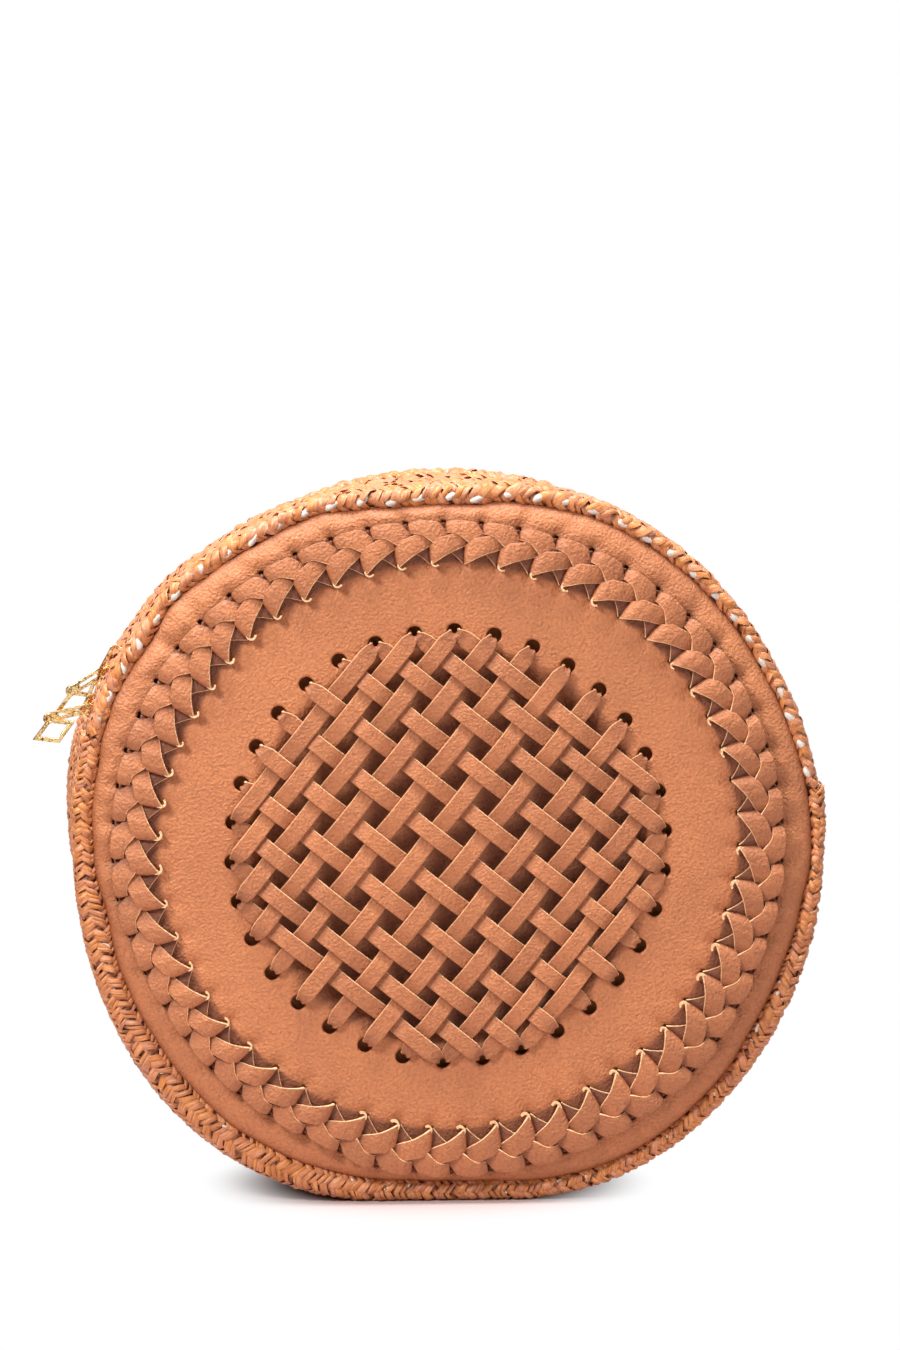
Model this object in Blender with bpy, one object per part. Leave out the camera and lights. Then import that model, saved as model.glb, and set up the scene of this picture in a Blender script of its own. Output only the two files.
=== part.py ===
"""Round shoulder bag: laced leather front, plaited raffia gusset and a zip with two sliders.

X is to the right, Y is depth with the front towards -Y, Z is up. The origin is on the flat
foot, under the hub of the round body. Angles run counter-clockwise from +X, seen from the front.
"""

import math

import bmesh
import bpy
from mathutils import Vector

# Round body
OUTER_RADIUS = 0.111
BASE_DROP = 0.1072
HUB_HEIGHT = 0.1041
SQUARENESS = 20
SEAM_DEPTH = 0.029
FACE_SHIFT = -0.0010
FACE_RISE = 0.0029
BODY_STEP_DEG = 6.0

# Raffia bands and their linings
RAFFIA_THICKNESS = 0.0035
ROLL_WIDTH = 0.0046
ROLL_RISE = 0.0018
ROLL_LIP = 0.0007
SEWN_GAP = 0.0003
LINING_THICKNESS = 0.0006
ROLL_INSET_SHARES = (0.70, 0.35, 0.08)
END_LIFT = 0.0015
JOINT_LEFT_DEG = 161.2
JOINT_RIGHT_DEG = 10.1
JOINT_GAP_DEG = 0.25
LIFT_SPAN_DEG = 12.0

# Leather panels, foam and lining discs
LEATHER_THICKNESS = 0.0014
RIM_WIDTH = 0.030
PUFF_HEIGHT = 0.005
DISH_RADIUS = 0.0605
DISH_FLOOR_RADIUS = 0.054
DISH_DEPTH = 0.002
FOAM_THICKNESS = 0.0035
FOAM_SETBACK = 0.0042
FOAM_CLEARANCE = 0.0007
RIM_INSET_SHARES = (0.0, 0.14, 0.60, 1.0)
RIM_PUFF_SHARES = (0.0, 0.62, 0.97, 1.0)

# Lattice of flat strips
HOLE_COUNT = 34
HOLE_CIRCLE_RADIUS = 0.064
HOLE_RADIUS = 0.00215
FIRST_HOLE_DEG = 99.0
RISING_SUM = 10
RISING_FIRST = 8
RISING_COUNT = 12
FALLING_SUM = 27
FALLING_FIRST = 0
FALLING_COUNT = 11
STRIP_WIDTH = 0.0052
STRIP_THICKNESS = 0.0010
STRIP_STEP = 0.0013
STRIP_MARGIN = 0.0003
TAIL_OFFSET = 0.0012
TAIL_WIDTH = 0.0012
TAIL_THICKNESS = 0.0008
TAIL_BEHIND = 0.0004
TAPER_LENGTH = 0.0023

# Braided ring
STITCH_COUNT = 54
BRAID_OUTER_RADIUS = 0.0975
BRAID_WIDTH = 0.0135
LACE_WIDTH = 0.0050
LACE_THICKNESS = 0.0009
LACE_STEP = 0.0014
BRAID_TOP_DROP = 0.0022
BRAID_SEAM_GAP = 0.0015
FIRST_STITCH_DEG = 90.7
LEAN_SHARE = 0.8
CROSSING_SHARE = 0.625
PLATEAU_SHARE = 0.19
FOLD_SHARE = 0.05

# Zip chain and tapes
CHANNEL_HALF_WIDTH = 0.006
TAPE_THICKNESS = 0.0007
TAPE_OVERLAP = 0.006
CHAIN_SPLIT = 0.0006
CHAIN_ROW_WIDTH = 0.0028
CHAIN_HEIGHT = 0.0023
STOP_LENGTH = 0.0010
STOP_PROUD = 0.0002

# Sliders
SLIDER_LENGTH = 0.011
SLIDER_PLATE = 0.0015
SLIDER_FLANGE = 0.0008
SLIDER_UNDERPLATE = 0.0012
SLIDER_CLEARANCE = 0.0004
SLIDER_TOP_CLEARANCE = 0.0003
SLIDER_POST_HALF_WIDTH = 0.0003
BRIDGE_HALF_WIDTH = 0.0005
BRIDGE_BAR = 0.0011
BRIDGE_HALF_SPAN = 0.0041
BRIDGE_RISE = 0.0033
SLIDER_STOP_GAP = 0.0006
SLIDER_PAIR_GAP = 0.0011

# Pulls
PIVOT_SHIFT = 0.0028
PIN_RADIUS = 0.0007
PIN_HEAD_RADIUS = 0.0010
PIN_HEAD_THICKNESS = 0.0006
PIN_CLEARANCE = 0.0003
STEM_LENGTH = 0.0125
STEM_WIDTH = 0.0028
STEM_THICKNESS = 0.0013
STEM_SLOT_LENGTH = 0.0060
STEM_SLOT_WIDTH = 0.0009
STEM_LOWER_DEG = 192.4
STEM_UPPER_DEG = 212.0
RING_SIDE = 0.0080
RING_CORNER_DEG = 120.0
RING_BAR = 0.0012
RING_DEPTH = 0.0025
RING_LUG_RADIUS = 0.0016
RING_HANG_DEG = 293.0
PIN_SIDES = 10
CUT_OVERRUN = 0.002

FINISHES = {
    "leather": ((0.66, 0.29, 0.15), 0.50, 0.0),
    "lace_leather": ((0.62, 0.27, 0.14), 0.55, 0.0),
    "raffia": ((0.58, 0.25, 0.09), 0.75, 0.0),
    "foam": ((0.30, 0.16, 0.08), 0.90, 0.0),
    "lining": ((0.70, 0.62, 0.50), 0.85, 0.0),
    "tape": ((0.50, 0.24, 0.10), 0.80, 0.0),
    "gold": ((0.93, 0.68, 0.36), 0.15, 1.0),
}

HUB = Vector((0.0, 0.0, HUB_HEIGHT))
FACE_CENTRE = Vector((FACE_SHIFT, 0.0, FACE_RISE))
PANEL_INSET = ROLL_WIDTH + SEWN_GAP
TAPE_INSET = RAFFIA_THICKNESS + SEWN_GAP
LINING_INSET = TAPE_INSET + TAPE_THICKNESS + SEWN_GAP
LINING_DISC_INSET = LINING_INSET + LINING_THICKNESS + SEWN_GAP
LINING_DEPTH = SEAM_DEPTH - LEATHER_THICKNESS - SEWN_GAP
FACE_DEPTH = SEAM_DEPTH + PUFF_HEIGHT
CHAIN_TOP_RADIUS = OUTER_RADIUS - RAFFIA_THICKNESS + CHAIN_HEIGHT
PLATE_UNDER_RADIUS = CHAIN_TOP_RADIUS + SLIDER_TOP_CLEARANCE
PLATE_TOP_RADIUS = PLATE_UNDER_RADIUS + SLIDER_PLATE
PIVOT_RADIUS = PLATE_TOP_RADIUS + BRIDGE_RISE - PIN_CLEARANCE - PIN_RADIUS
SLIDER_LOWER_ARC = STOP_LENGTH + SLIDER_STOP_GAP + SLIDER_LENGTH / 2
SLIDER_UPPER_ARC = SLIDER_LOWER_ARC + SLIDER_PAIR_GAP + SLIDER_LENGTH


def clear_scene():
    for obj in list(bpy.data.objects):
        bpy.data.objects.remove(obj, do_unlink=True)


def finish(name):
    found = bpy.data.materials.get(name)
    if found:
        return found
    colour, roughness, metallic = FINISHES[name]
    made = bpy.data.materials.new(name)
    made.use_nodes = True
    shader = made.node_tree.nodes["Principled BSDF"]
    shader.inputs["Base Color"].default_value = (*colour, 1.0)
    shader.inputs["Roughness"].default_value = roughness
    shader.inputs["Metallic"].default_value = metallic
    return made


def add_solid(name, points, faces, finish_name, place=None, turn=0.0):
    """A closed mesh object. It may be placed at a point and turned about an axis along Y."""
    mesh = bpy.data.meshes.new(name)
    shape = bmesh.new()
    verts = [shape.verts.new(point) for point in points]
    for face in faces:
        shape.faces.new([verts[i] for i in face])
    bmesh.ops.recalc_face_normals(shape, faces=shape.faces)
    if shape.calc_volume(signed=True) < 0:
        bmesh.ops.reverse_faces(shape, faces=shape.faces)
    shape.to_mesh(mesh)
    shape.free()
    obj = bpy.data.objects.new(name, mesh)
    bpy.context.scene.collection.objects.link(obj)
    mesh.materials.append(finish(finish_name))
    if place is not None:
        obj.location = place
    obj.rotation_euler = (0.0, -turn, 0.0)
    return obj


def smooth(obj, angle_deg=35.0):
    obj.data.shade_smooth()
    obj.data.set_sharp_from_angle(angle=math.radians(angle_deg))
    return obj


def loft(sections, closed=False):
    """Points and faces of a skin through sections that all have the same number of points."""
    count = len(sections[0])
    points = [point for section in sections for point in section]
    faces = []
    for i in range(len(sections) if closed else len(sections) - 1):
        here = i * count
        there = (i + 1) % len(sections) * count
        for j in range(count):
            k = (j + 1) % count
            faces.append((here + j, here + k, there + k, there + j))
    if not closed:
        faces.append(tuple(range(count)))
        faces.append(tuple(range((len(sections) - 1) * count, len(points))))
    return points, faces


def prism(outline, low, high):
    """A flat outline in X and Z, given depth along Y."""
    return loft([[Vector((x, y, z)) for x, z in outline] for y in (low, high)])


def circle(radius, sides, centre=(0.0, 0.0), start=0.0):
    turns = [start + 2 * math.pi * i / sides for i in range(sides)]
    return [(centre[0] + radius * math.cos(a), centre[1] + radius * math.sin(a)) for a in turns]


def combine(obj, other, operation):
    """Joins or cuts with a helper solid, which isn't a piece of its own."""
    other.hide_render = True
    other.display_type = "WIRE"
    other.parent = obj
    other.matrix_parent_inverse = obj.matrix_basis.inverted()
    step = obj.modifiers.new(other.name, "BOOLEAN")
    step.object = other
    step.operation = operation
    step.solver = "EXACT"


def outline_radius(angle, inset):
    """The body's outline is round, and pressed flat towards the foot."""
    round_radius = OUTER_RADIUS - inset
    down = -math.sin(angle)
    if down <= 0:
        return round_radius
    flat_radius = (BASE_DROP - inset) / down
    pressed = (round_radius**-SQUARENESS + flat_radius**-SQUARENESS) ** (-1 / SQUARENESS)
    return min(pressed, (HUB_HEIGHT - inset) / down)


def body_point(angle, inset, y):
    radius = outline_radius(angle, inset)
    return HUB + Vector((radius * math.cos(angle), y, radius * math.sin(angle)))


def body_angles(low_deg, high_deg):
    """Angles from low to high that every piece round the body shares, with its own two ends."""
    first = math.floor(low_deg / BODY_STEP_DEG) + 1
    last = math.ceil(high_deg / BODY_STEP_DEG) - 1
    between = [BODY_STEP_DEG * i for i in range(first, last + 1)]
    return [math.radians(a) for a in [low_deg] + between + [high_deg]]


def face_offset(angle):
    """How far the centre of the lattice and the braid lies from the hub, towards an angle."""
    return FACE_SHIFT * math.cos(angle) + FACE_RISE * math.sin(angle)


def rim_width(angle):
    """The puffed rim ends before the circle of holes, also where the body is pressed flat."""
    holes_end = HOLE_CIRCLE_RADIUS + HOLE_RADIUS + face_offset(angle)
    return min(RIM_WIDTH, outline_radius(angle, PANEL_INSET) - holes_end)


def rim_radius(angle, share):
    return outline_radius(angle, PANEL_INSET + rim_width(angle) * share)


def puff(angle, inset):
    """How far the leather stands out from its seam, at a distance in from the body's outline."""
    share = min(1.0, max(0.0, (inset - PANEL_INSET) / rim_width(angle)))
    pairs = list(zip(RIM_INSET_SHARES, RIM_PUFF_SHARES))
    for (s0, p0), (s1, p1) in zip(pairs, pairs[1:]):
        if share <= s1:
            return PUFF_HEIGHT * (p0 + (p1 - p0) * (share - s0) / (s1 - s0))
    return PUFF_HEIGHT


def braid_rest_y(x, z):
    """Front of the leather under the braid, which stands off where the rim falls away to the seam."""
    angle = math.atan2(z, x)
    inset = outline_radius(angle, 0.0) - math.hypot(x, z)
    least = PANEL_INSET + rim_width(angle) * RIM_INSET_SHARES[1]
    return -SEAM_DEPTH - puff(angle, max(inset, least))


def leather_rings(dished):
    """Rings of the panel's outer face, from the middle outwards: (radius rule, depth, centre)."""
    rings = []
    if dished:
        rings.append((lambda angle: DISH_FLOOR_RADIUS, FACE_DEPTH - DISH_DEPTH, FACE_CENTRE))
        rings.append((lambda angle: DISH_RADIUS, FACE_DEPTH, FACE_CENTRE))
    for share, rise in reversed(list(zip(RIM_INSET_SHARES, RIM_PUFF_SHARES))):
        depth = SEAM_DEPTH + PUFF_HEIGHT * rise
        rings.append((lambda angle, share=share: rim_radius(angle, share), depth, Vector()))
    return rings


def leather_panel(name, side, dished):
    """A leather disc of even thickness. side is -1 for the front and 1 for the back."""
    rings = leather_rings(dished)
    _, middle_depth, middle = rings[0]
    angles = body_angles(0.0, 360.0)[:-1]
    points = []
    for thickness in (0.0, LEATHER_THICKNESS):
        points.append(HUB + middle + Vector((0.0, side * (middle_depth - thickness), 0.0)))
        for radius_at, depth, centre in rings:
            for angle in angles:
                radius = radius_at(angle)
                x, z = radius * math.cos(angle), radius * math.sin(angle)
                points.append(HUB + centre + Vector((x, side * (depth - thickness), z)))
    count = len(angles)
    skin = 1 + len(rings) * count
    faces = []
    for base in (0, skin):
        for j in range(count):
            faces.append((base, base + 1 + j, base + 1 + (j + 1) % count))
        for i in range(len(rings) - 1):
            for j in range(count):
                here = base + 1 + i * count
                k = (j + 1) % count
                faces.append((here + j, here + k, here + count + k, here + count + j))
    rim = 1 + (len(rings) - 1) * count
    for j in range(count):
        k = (j + 1) % count
        faces.append((rim + j, rim + k, skin + rim + k, skin + rim + j))
    return smooth(add_solid(name, points, faces, "leather"))


def disc(name, inset, near, far, finish_name):
    angles = body_angles(0.0, 360.0)[:-1]
    points, faces = loft([[body_point(a, inset, y) for a in angles] for y in (near, far)])
    return add_solid(name, points, faces, finish_name)


def face_place(angle, radius):
    """A place about the centre of the lattice and the braid, which lies a little above the hub."""
    return FACE_CENTRE + Vector((radius * math.cos(angle), 0.0, radius * math.sin(angle)))


def hole_place(number):
    angle = math.radians(FIRST_HOLE_DEG + (number - 1) * 360.0 / HOLE_COUNT)
    return face_place(angle, HOLE_CIRCLE_RADIUS)


def front_panel():
    panel = leather_panel("front_panel", -1, True)
    points, faces = [], []
    near = -FACE_DEPTH - CUT_OVERRUN
    far = LEATHER_THICKNESS - FACE_DEPTH + CUT_OVERRUN
    for number in range(1, HOLE_COUNT + 1):
        place = HUB + hole_place(number)
        outline = circle(HOLE_RADIUS, PIN_SIDES, (place.x, place.z))
        more_points, more_faces = prism(outline, near, far)
        faces += [tuple(i + len(points) for i in face) for face in more_faces]
        points += more_points
    combine(panel, add_solid("hole_cutter", points, faces, "leather"), "DIFFERENCE")


def panels():
    front_panel()
    leather_panel("back_panel", 1, False)
    foam_near = FACE_DEPTH - DISH_DEPTH - LEATHER_THICKNESS - FOAM_CLEARANCE
    foam_far = foam_near - FOAM_THICKNESS
    lining_near = foam_far - SEWN_GAP
    lining_far = lining_near - LINING_THICKNESS
    foam_inset = PANEL_INSET + FOAM_SETBACK
    for side, label in ((-1, "front"), (1, "back")):
        disc(f"{label}_padding", foam_inset, side * foam_near, side * foam_far, "foam")
        disc(f"{label}_lining", LINING_DISC_INSET, side * lining_near, side * lining_far, "lining")


def rolled_edge(side):
    """Profile of the roll along the leather, from the band's inner face round to its outer face."""
    seam = SEAM_DEPTH + ROLL_LIP
    crest = SEAM_DEPTH + ROLL_RISE
    inward, middle, outward = (ROLL_WIDTH * share for share in ROLL_INSET_SHARES)
    corners = (
        (RAFFIA_THICKNESS, SEAM_DEPTH),
        (ROLL_WIDTH, SEAM_DEPTH),
        (ROLL_WIDTH, seam),
        (inward, crest),
        (middle, crest),
        (outward, seam),
        (0.0, SEAM_DEPTH - ROLL_RISE),
    )
    return [(inset, side * depth) for inset, depth in corners]


def band(name, profile, low_deg, high_deg, finish_name, lift=None):
    sections = []
    for angle in body_angles(low_deg, high_deg):
        raised = lift(angle) if lift else 0.0
        sections.append([body_point(angle, inset - raised, y) for inset, y in profile])
    points, faces = loft(sections)
    return smooth(add_solid(name, points, faces, finish_name), 50.0)


def flat_profile(inset, thickness, near, far):
    return [(inset, near), (inset, far), (inset + thickness, far), (inset + thickness, near)]


def gusset_end_lift(angle):
    """The lower gusset's end is sewn over the zip panel's end on the right, and stands out there."""
    before_end = 360.0 + JOINT_RIGHT_DEG - math.degrees(angle)
    return END_LIFT * max(0.0, 1.0 - before_end / LIFT_SPAN_DEG)


def raffia_bands():
    whole = rolled_edge(-1) + rolled_edge(1)[::-1]
    first = JOINT_LEFT_DEG + JOINT_GAP_DEG
    last = 360.0 + JOINT_RIGHT_DEG - JOINT_GAP_DEG
    band("lower_gusset", whole, first, last, "raffia", gusset_end_lift)
    lining = flat_profile(LINING_INSET, LINING_THICKNESS, -LINING_DEPTH, LINING_DEPTH)
    band("lower_gusset_lining", lining, first, last, "lining")
    for side, label in ((-1, "front"), (1, "back")):
        edge = side * CHANNEL_HALF_WIDTH
        strip = rolled_edge(side) + [(0.0, edge), (RAFFIA_THICKNESS, edge)]
        band(f"zip_strip_{label}", strip, JOINT_RIGHT_DEG, JOINT_LEFT_DEG, "raffia")
        cover = flat_profile(LINING_INSET, LINING_THICKNESS, side * LINING_DEPTH, edge)
        band(f"zip_strip_{label}_lining", cover, JOINT_RIGHT_DEG, JOINT_LEFT_DEG, "lining")


def zip_chain():
    stop_angle = math.degrees(STOP_LENGTH / OUTER_RADIUS)
    chain_left = JOINT_LEFT_DEG - stop_angle - JOINT_GAP_DEG
    chain_right = JOINT_RIGHT_DEG + stop_angle + JOINT_GAP_DEG
    chain_inset = RAFFIA_THICKNESS - CHAIN_HEIGHT
    for side, label in ((-1, "front"), (1, "back")):
        tape_edge = side * (CHANNEL_HALF_WIDTH + TAPE_OVERLAP)
        tape = flat_profile(TAPE_INSET, TAPE_THICKNESS, side * CHAIN_SPLIT, tape_edge)
        band(f"zip_tape_{label}", tape, JOINT_RIGHT_DEG, JOINT_LEFT_DEG, "tape")
        row_edge = side * (CHAIN_SPLIT + CHAIN_ROW_WIDTH)
        row = flat_profile(chain_inset, CHAIN_HEIGHT, side * CHAIN_SPLIT, row_edge)
        band(f"zip_chain_{label}", row, chain_right, chain_left, "gold")
    reach = CHAIN_SPLIT + CHAIN_ROW_WIDTH
    stop = flat_profile(chain_inset - STOP_PROUD, CHAIN_HEIGHT + STOP_PROUD, -reach, reach)
    band("zip_stop_left", stop, JOINT_LEFT_DEG - stop_angle, JOINT_LEFT_DEG, "gold")
    band("zip_stop_right", stop, JOINT_RIGHT_DEG, JOINT_RIGHT_DEG + stop_angle, "gold")


def chord_ends(number, total):
    """The two holes that a strip runs between: their numbers add up to a fixed sum."""
    return hole_place(number), hole_place(total - number)


def crossings(start, end, others):
    """Where other strips cross this one: (distance from its start, number of the other)."""
    along = (end - start).normalized()
    length = (end - start).length
    found = []
    for number, (first, second) in others:
        other = (second - first).normalized()
        turn = along.x * other.z - along.z * other.x
        gap = first - start
        distance = (gap.x * other.z - gap.z * other.x) / turn
        other_distance = (gap.x * along.z - gap.z * along.x) / turn
        other_length = (second - first).length
        inside = HOLE_RADIUS < distance < length - HOLE_RADIUS
        if inside and HOLE_RADIUS < other_distance < other_length - HOLE_RADIUS:
            found.append((distance, number))
    return sorted(found)


def strip_solid(name, start, end, levels):
    """A flat strip between two holes. levels is a list of (distance, half length, raised)."""
    along = (end - start).normalized()
    across = Vector((-along.z, 0.0, along.x))
    out = Vector((0.0, -1.0, 0.0))
    length = (end - start).length
    low = FACE_DEPTH + STRIP_MARGIN + STRIP_THICKNESS / 2
    tail_depth = FACE_DEPTH - LEATHER_THICKNESS - TAIL_BEHIND
    corner = STRIP_THICKNESS / 2
    sections = []

    def add(distance, depth, width, offset):
        centre = HUB + start + along * distance + out * depth
        left, right = centre - across * (width / 2), centre + across * (width / 2)
        sections.append([left - offset, right - offset, right + offset, left + offset])

    tail = along * (TAIL_THICKNESS / 2)
    first_level = levels[0][0] - levels[0][1] - STRIP_MARGIN
    last_level = levels[-1][0] + levels[-1][1] + STRIP_MARGIN
    add(TAIL_OFFSET, tail_depth, TAIL_WIDTH, -tail)
    add(TAIL_OFFSET, low, TAIL_WIDTH, out * corner - tail)
    add(min(TAIL_OFFSET + TAPER_LENGTH, first_level), low, STRIP_WIDTH, out * corner)
    for distance, half, raised in levels:
        depth = low + (STRIP_STEP if raised else 0.0)
        add(distance - half, depth, STRIP_WIDTH, out * corner)
        add(distance + half, depth, STRIP_WIDTH, out * corner)
    add(max(length - TAIL_OFFSET - TAPER_LENGTH, last_level), low, STRIP_WIDTH, out * corner)
    add(length - TAIL_OFFSET, low, TAIL_WIDTH, out * corner + tail)
    add(length - TAIL_OFFSET, tail_depth, TAIL_WIDTH, tail)
    points, faces = loft(sections)
    add_solid(name, points, faces, "lace_leather")


def lattice():
    """Plain weave: a rising strip lies over a falling one where their numbers add up to odd."""
    rising_numbers = range(RISING_FIRST, RISING_FIRST + RISING_COUNT)
    falling_numbers = range(FALLING_FIRST, FALLING_FIRST + FALLING_COUNT)
    rising = [(number, chord_ends(number, RISING_SUM)) for number in rising_numbers]
    falling = [(number, chord_ends(number, FALLING_SUM)) for number in falling_numbers]
    half = STRIP_WIDTH / 2 + STRIP_MARGIN
    families = (("rising", rising, falling, 1), ("falling", falling, rising, 0))
    for label, own, others, over_parity in families:
        for i, (number, (start, end)) in enumerate(own):
            levels = []
            for distance, other in crossings(start, end, others):
                levels.append((distance, half, (number + other) % 2 == over_parity))
            strip_solid(f"{label}_strip_{i + 1:02d}", start, end, levels)


def on_leather(place, height):
    """A place in X and Z about the hub, lifted off the leather by a height."""
    return HUB + Vector((place.x, braid_rest_y(place.x, place.z) - height, place.z))


def braid_place(turns, share):
    """A place in the braided ring: stitches clockwise, share from its inner to its outer edge."""
    angle = math.radians(FIRST_STITCH_DEG - turns * 360.0 / STITCH_COUNT)
    lowered = BRAID_OUTER_RADIUS - BRAID_TOP_DROP * max(0.0, math.sin(angle))
    room = outline_radius(angle, PANEL_INSET + BRAID_SEAM_GAP) - face_offset(angle)
    return face_place(angle, min(lowered, room) - BRAID_WIDTH * (1.0 - share))


def lace_run(stitch, share, height, inward):
    """Section of a slanting run. The lace turns over at each fold, so every other run lies face down."""
    lean = LEAN_SHARE * ((1.0 - share) if inward else (1.0 + share))
    step = -FOLD_SHARE if inward else FOLD_SHARE
    here = braid_place(stitch + lean, share)
    there = braid_place(stitch + lean + LEAN_SHARE * FOLD_SHARE, share + step)
    across = (there - here).cross(Vector((0.0, 1.0, 0.0))).normalized() * (LACE_WIDTH / 2)
    side, top = (across, LACE_THICKNESS / 2) if inward else (-across, -LACE_THICKNESS / 2)
    return [
        on_leather(here - side, height - top),
        on_leather(here + side, height - top),
        on_leather(here + side, height + top),
        on_leather(here - side, height + top),
    ]


def lace_fold(turns, share, height):
    """Section at a fold, standing on edge along the ring's edge, where the lace climbs."""
    here = braid_place(turns, share)
    outward = (here - FACE_CENTRE).normalized()
    side = outward.cross(Vector((0.0, 1.0, 0.0))) * (-LACE_WIDTH / 2)
    top = outward * (LACE_THICKNESS / 2)
    return [
        on_leather(here - side - top, height),
        on_leather(here + side - top, height),
        on_leather(here + side + top, height),
        on_leather(here - side + top, height),
    ]


def ring_lace():
    """One closed flat lace: each inward run crosses over the outward run before it, and folds up."""
    low = STRIP_MARGIN + LACE_THICKNESS / 2
    high = low + LACE_STEP
    middle = (low + high) / 2
    turn_share = CROSSING_SHARE - PLATEAU_SHARE
    outer_turn = (2 * LEAN_SHARE + 1) / 2
    sections = []
    for stitch in range(STITCH_COUNT):
        sections.append(lace_run(stitch, 1.0 - FOLD_SHARE, high, True))
        sections.append(lace_run(stitch, turn_share, high, True))
        sections.append(lace_run(stitch, FOLD_SHARE, low, True))
        sections.append(lace_fold(stitch + LEAN_SHARE, -FOLD_SHARE, middle))
        sections.append(lace_run(stitch, FOLD_SHARE, high, False))
        sections.append(lace_run(stitch, turn_share, low, False))
        sections.append(lace_run(stitch, 1.0 - FOLD_SHARE, low, False))
        sections.append(lace_fold(stitch + outer_turn, 1.0 + FOLD_SHARE, middle))
    points, faces = loft(sections, closed=True)
    add_solid("ring_lace", points, faces, "lace_leather")


def slider(name, angle_deg):
    """Plates above and below the chain, with flanges, a post between the rows and a bridge.

    It is drawn at angle 0 about the hub, radius along X, and then turned to its place.
    """
    flange_in = CHAIN_SPLIT + CHAIN_ROW_WIDTH + SLIDER_CLEARANCE
    half = flange_in + SLIDER_FLANGE
    flange_low = OUTER_RADIUS - RAFFIA_THICKNESS
    under_top = OUTER_RADIUS - TAPE_INSET - TAPE_THICKNESS - SLIDER_CLEARANCE
    under_low = under_top - SLIDER_UNDERPLATE
    right = [
        (half, PLATE_TOP_RADIUS),
        (half, flange_low),
        (flange_in, flange_low),
        (flange_in, PLATE_UNDER_RADIUS),
        (SLIDER_POST_HALF_WIDTH, PLATE_UNDER_RADIUS),
        (SLIDER_POST_HALF_WIDTH, under_top),
        (half, under_top),
        (half, under_low),
    ]
    outline = right + [(-y, radius) for y, radius in reversed(right)]
    ends = (-SLIDER_LENGTH / 2, SLIDER_LENGTH / 2)
    points, faces = loft([[Vector((radius, y, z)) for y, radius in outline] for z in ends])
    body = add_solid(name, points, faces, "gold", HUB, math.radians(angle_deg))
    foot = PLATE_TOP_RADIUS - SLIDER_PLATE / 2
    inner = PLATE_TOP_RADIUS + BRIDGE_RISE
    outer = inner + BRIDGE_BAR
    reach = BRIDGE_HALF_SPAN + BRIDGE_BAR
    soft = BRIDGE_BAR
    arch = [
        (foot, -reach),
        (outer - soft, -reach),
        (outer, soft - reach),
        (outer, reach - soft),
        (outer - soft, reach),
        (foot, reach),
        (foot, BRIDGE_HALF_SPAN),
        (inner, BRIDGE_HALF_SPAN),
        (inner, -BRIDGE_HALF_SPAN),
        (foot, -BRIDGE_HALF_SPAN),
    ]
    points, faces = prism(arch, -BRIDGE_HALF_WIDTH, BRIDGE_HALF_WIDTH)
    bridge = add_solid(f"{name}_bridge", points, faces, "gold", HUB, math.radians(angle_deg))
    combine(body, bridge, "UNION")


def pivot_place(slider_deg):
    """Where a stem's pin lies: at the lower end of its slider's bridge."""
    angle = math.radians(slider_deg)
    outward = Vector((math.cos(angle), 0.0, math.sin(angle)))
    onward = Vector((-math.sin(angle), 0.0, math.cos(angle)))
    return HUB + outward * PIVOT_RADIUS + onward * PIVOT_SHIFT


def stem(name, place, angle_deg, side):
    """Slotted bar beside the bridge, with a headed pin under the bridge and a pin for the ring."""
    near = side * (BRIDGE_HALF_WIDTH + PIN_CLEARANCE)
    far = near + side * STEM_THICKNESS
    far_end = (STEM_LENGTH, 0.0)
    left = circle(STEM_WIDTH / 2, 2 * PIN_SIDES, start=math.pi / 2)[: PIN_SIDES + 1]
    right = circle(STEM_WIDTH / 2, 2 * PIN_SIDES, far_end, -math.pi / 2)[: PIN_SIDES + 1]
    turn = math.radians(angle_deg)
    points, faces = prism(left + right, near, far)
    bar = add_solid(name, points, faces, "gold", place, turn)
    slot_start = (STEM_LENGTH - STEM_SLOT_LENGTH) / 2
    slot_half = STEM_SLOT_WIDTH / 2
    slot = [
        (slot_start, -slot_half),
        (slot_start + STEM_SLOT_LENGTH, -slot_half),
        (slot_start + STEM_SLOT_LENGTH, slot_half),
        (slot_start, slot_half),
    ]
    helpers = [("slot", slot, near - side * CUT_OVERRUN, far + side * CUT_OVERRUN, "DIFFERENCE")]
    middle = (near + far) / 2
    head_near = -near
    head_far = head_near - side * PIN_HEAD_THICKNESS
    overlap = side * PIN_HEAD_THICKNESS / 2
    ring_far = far + side * (PIN_CLEARANCE + RING_DEPTH)
    helpers.append(("pin", circle(PIN_RADIUS, PIN_SIDES), middle, head_near - overlap, "UNION"))
    helpers.append(("head", circle(PIN_HEAD_RADIUS, PIN_SIDES), head_near, head_far, "UNION"))
    helpers.append(("ring_pin", circle(PIN_RADIUS, PIN_SIDES, far_end), middle, ring_far, "UNION"))
    for label, outline, low, high, operation in helpers:
        points, faces = prism(outline, low, high)
        combine(bar, add_solid(f"{name}_{label}", points, faces, "gold", place, turn), operation)


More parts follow.
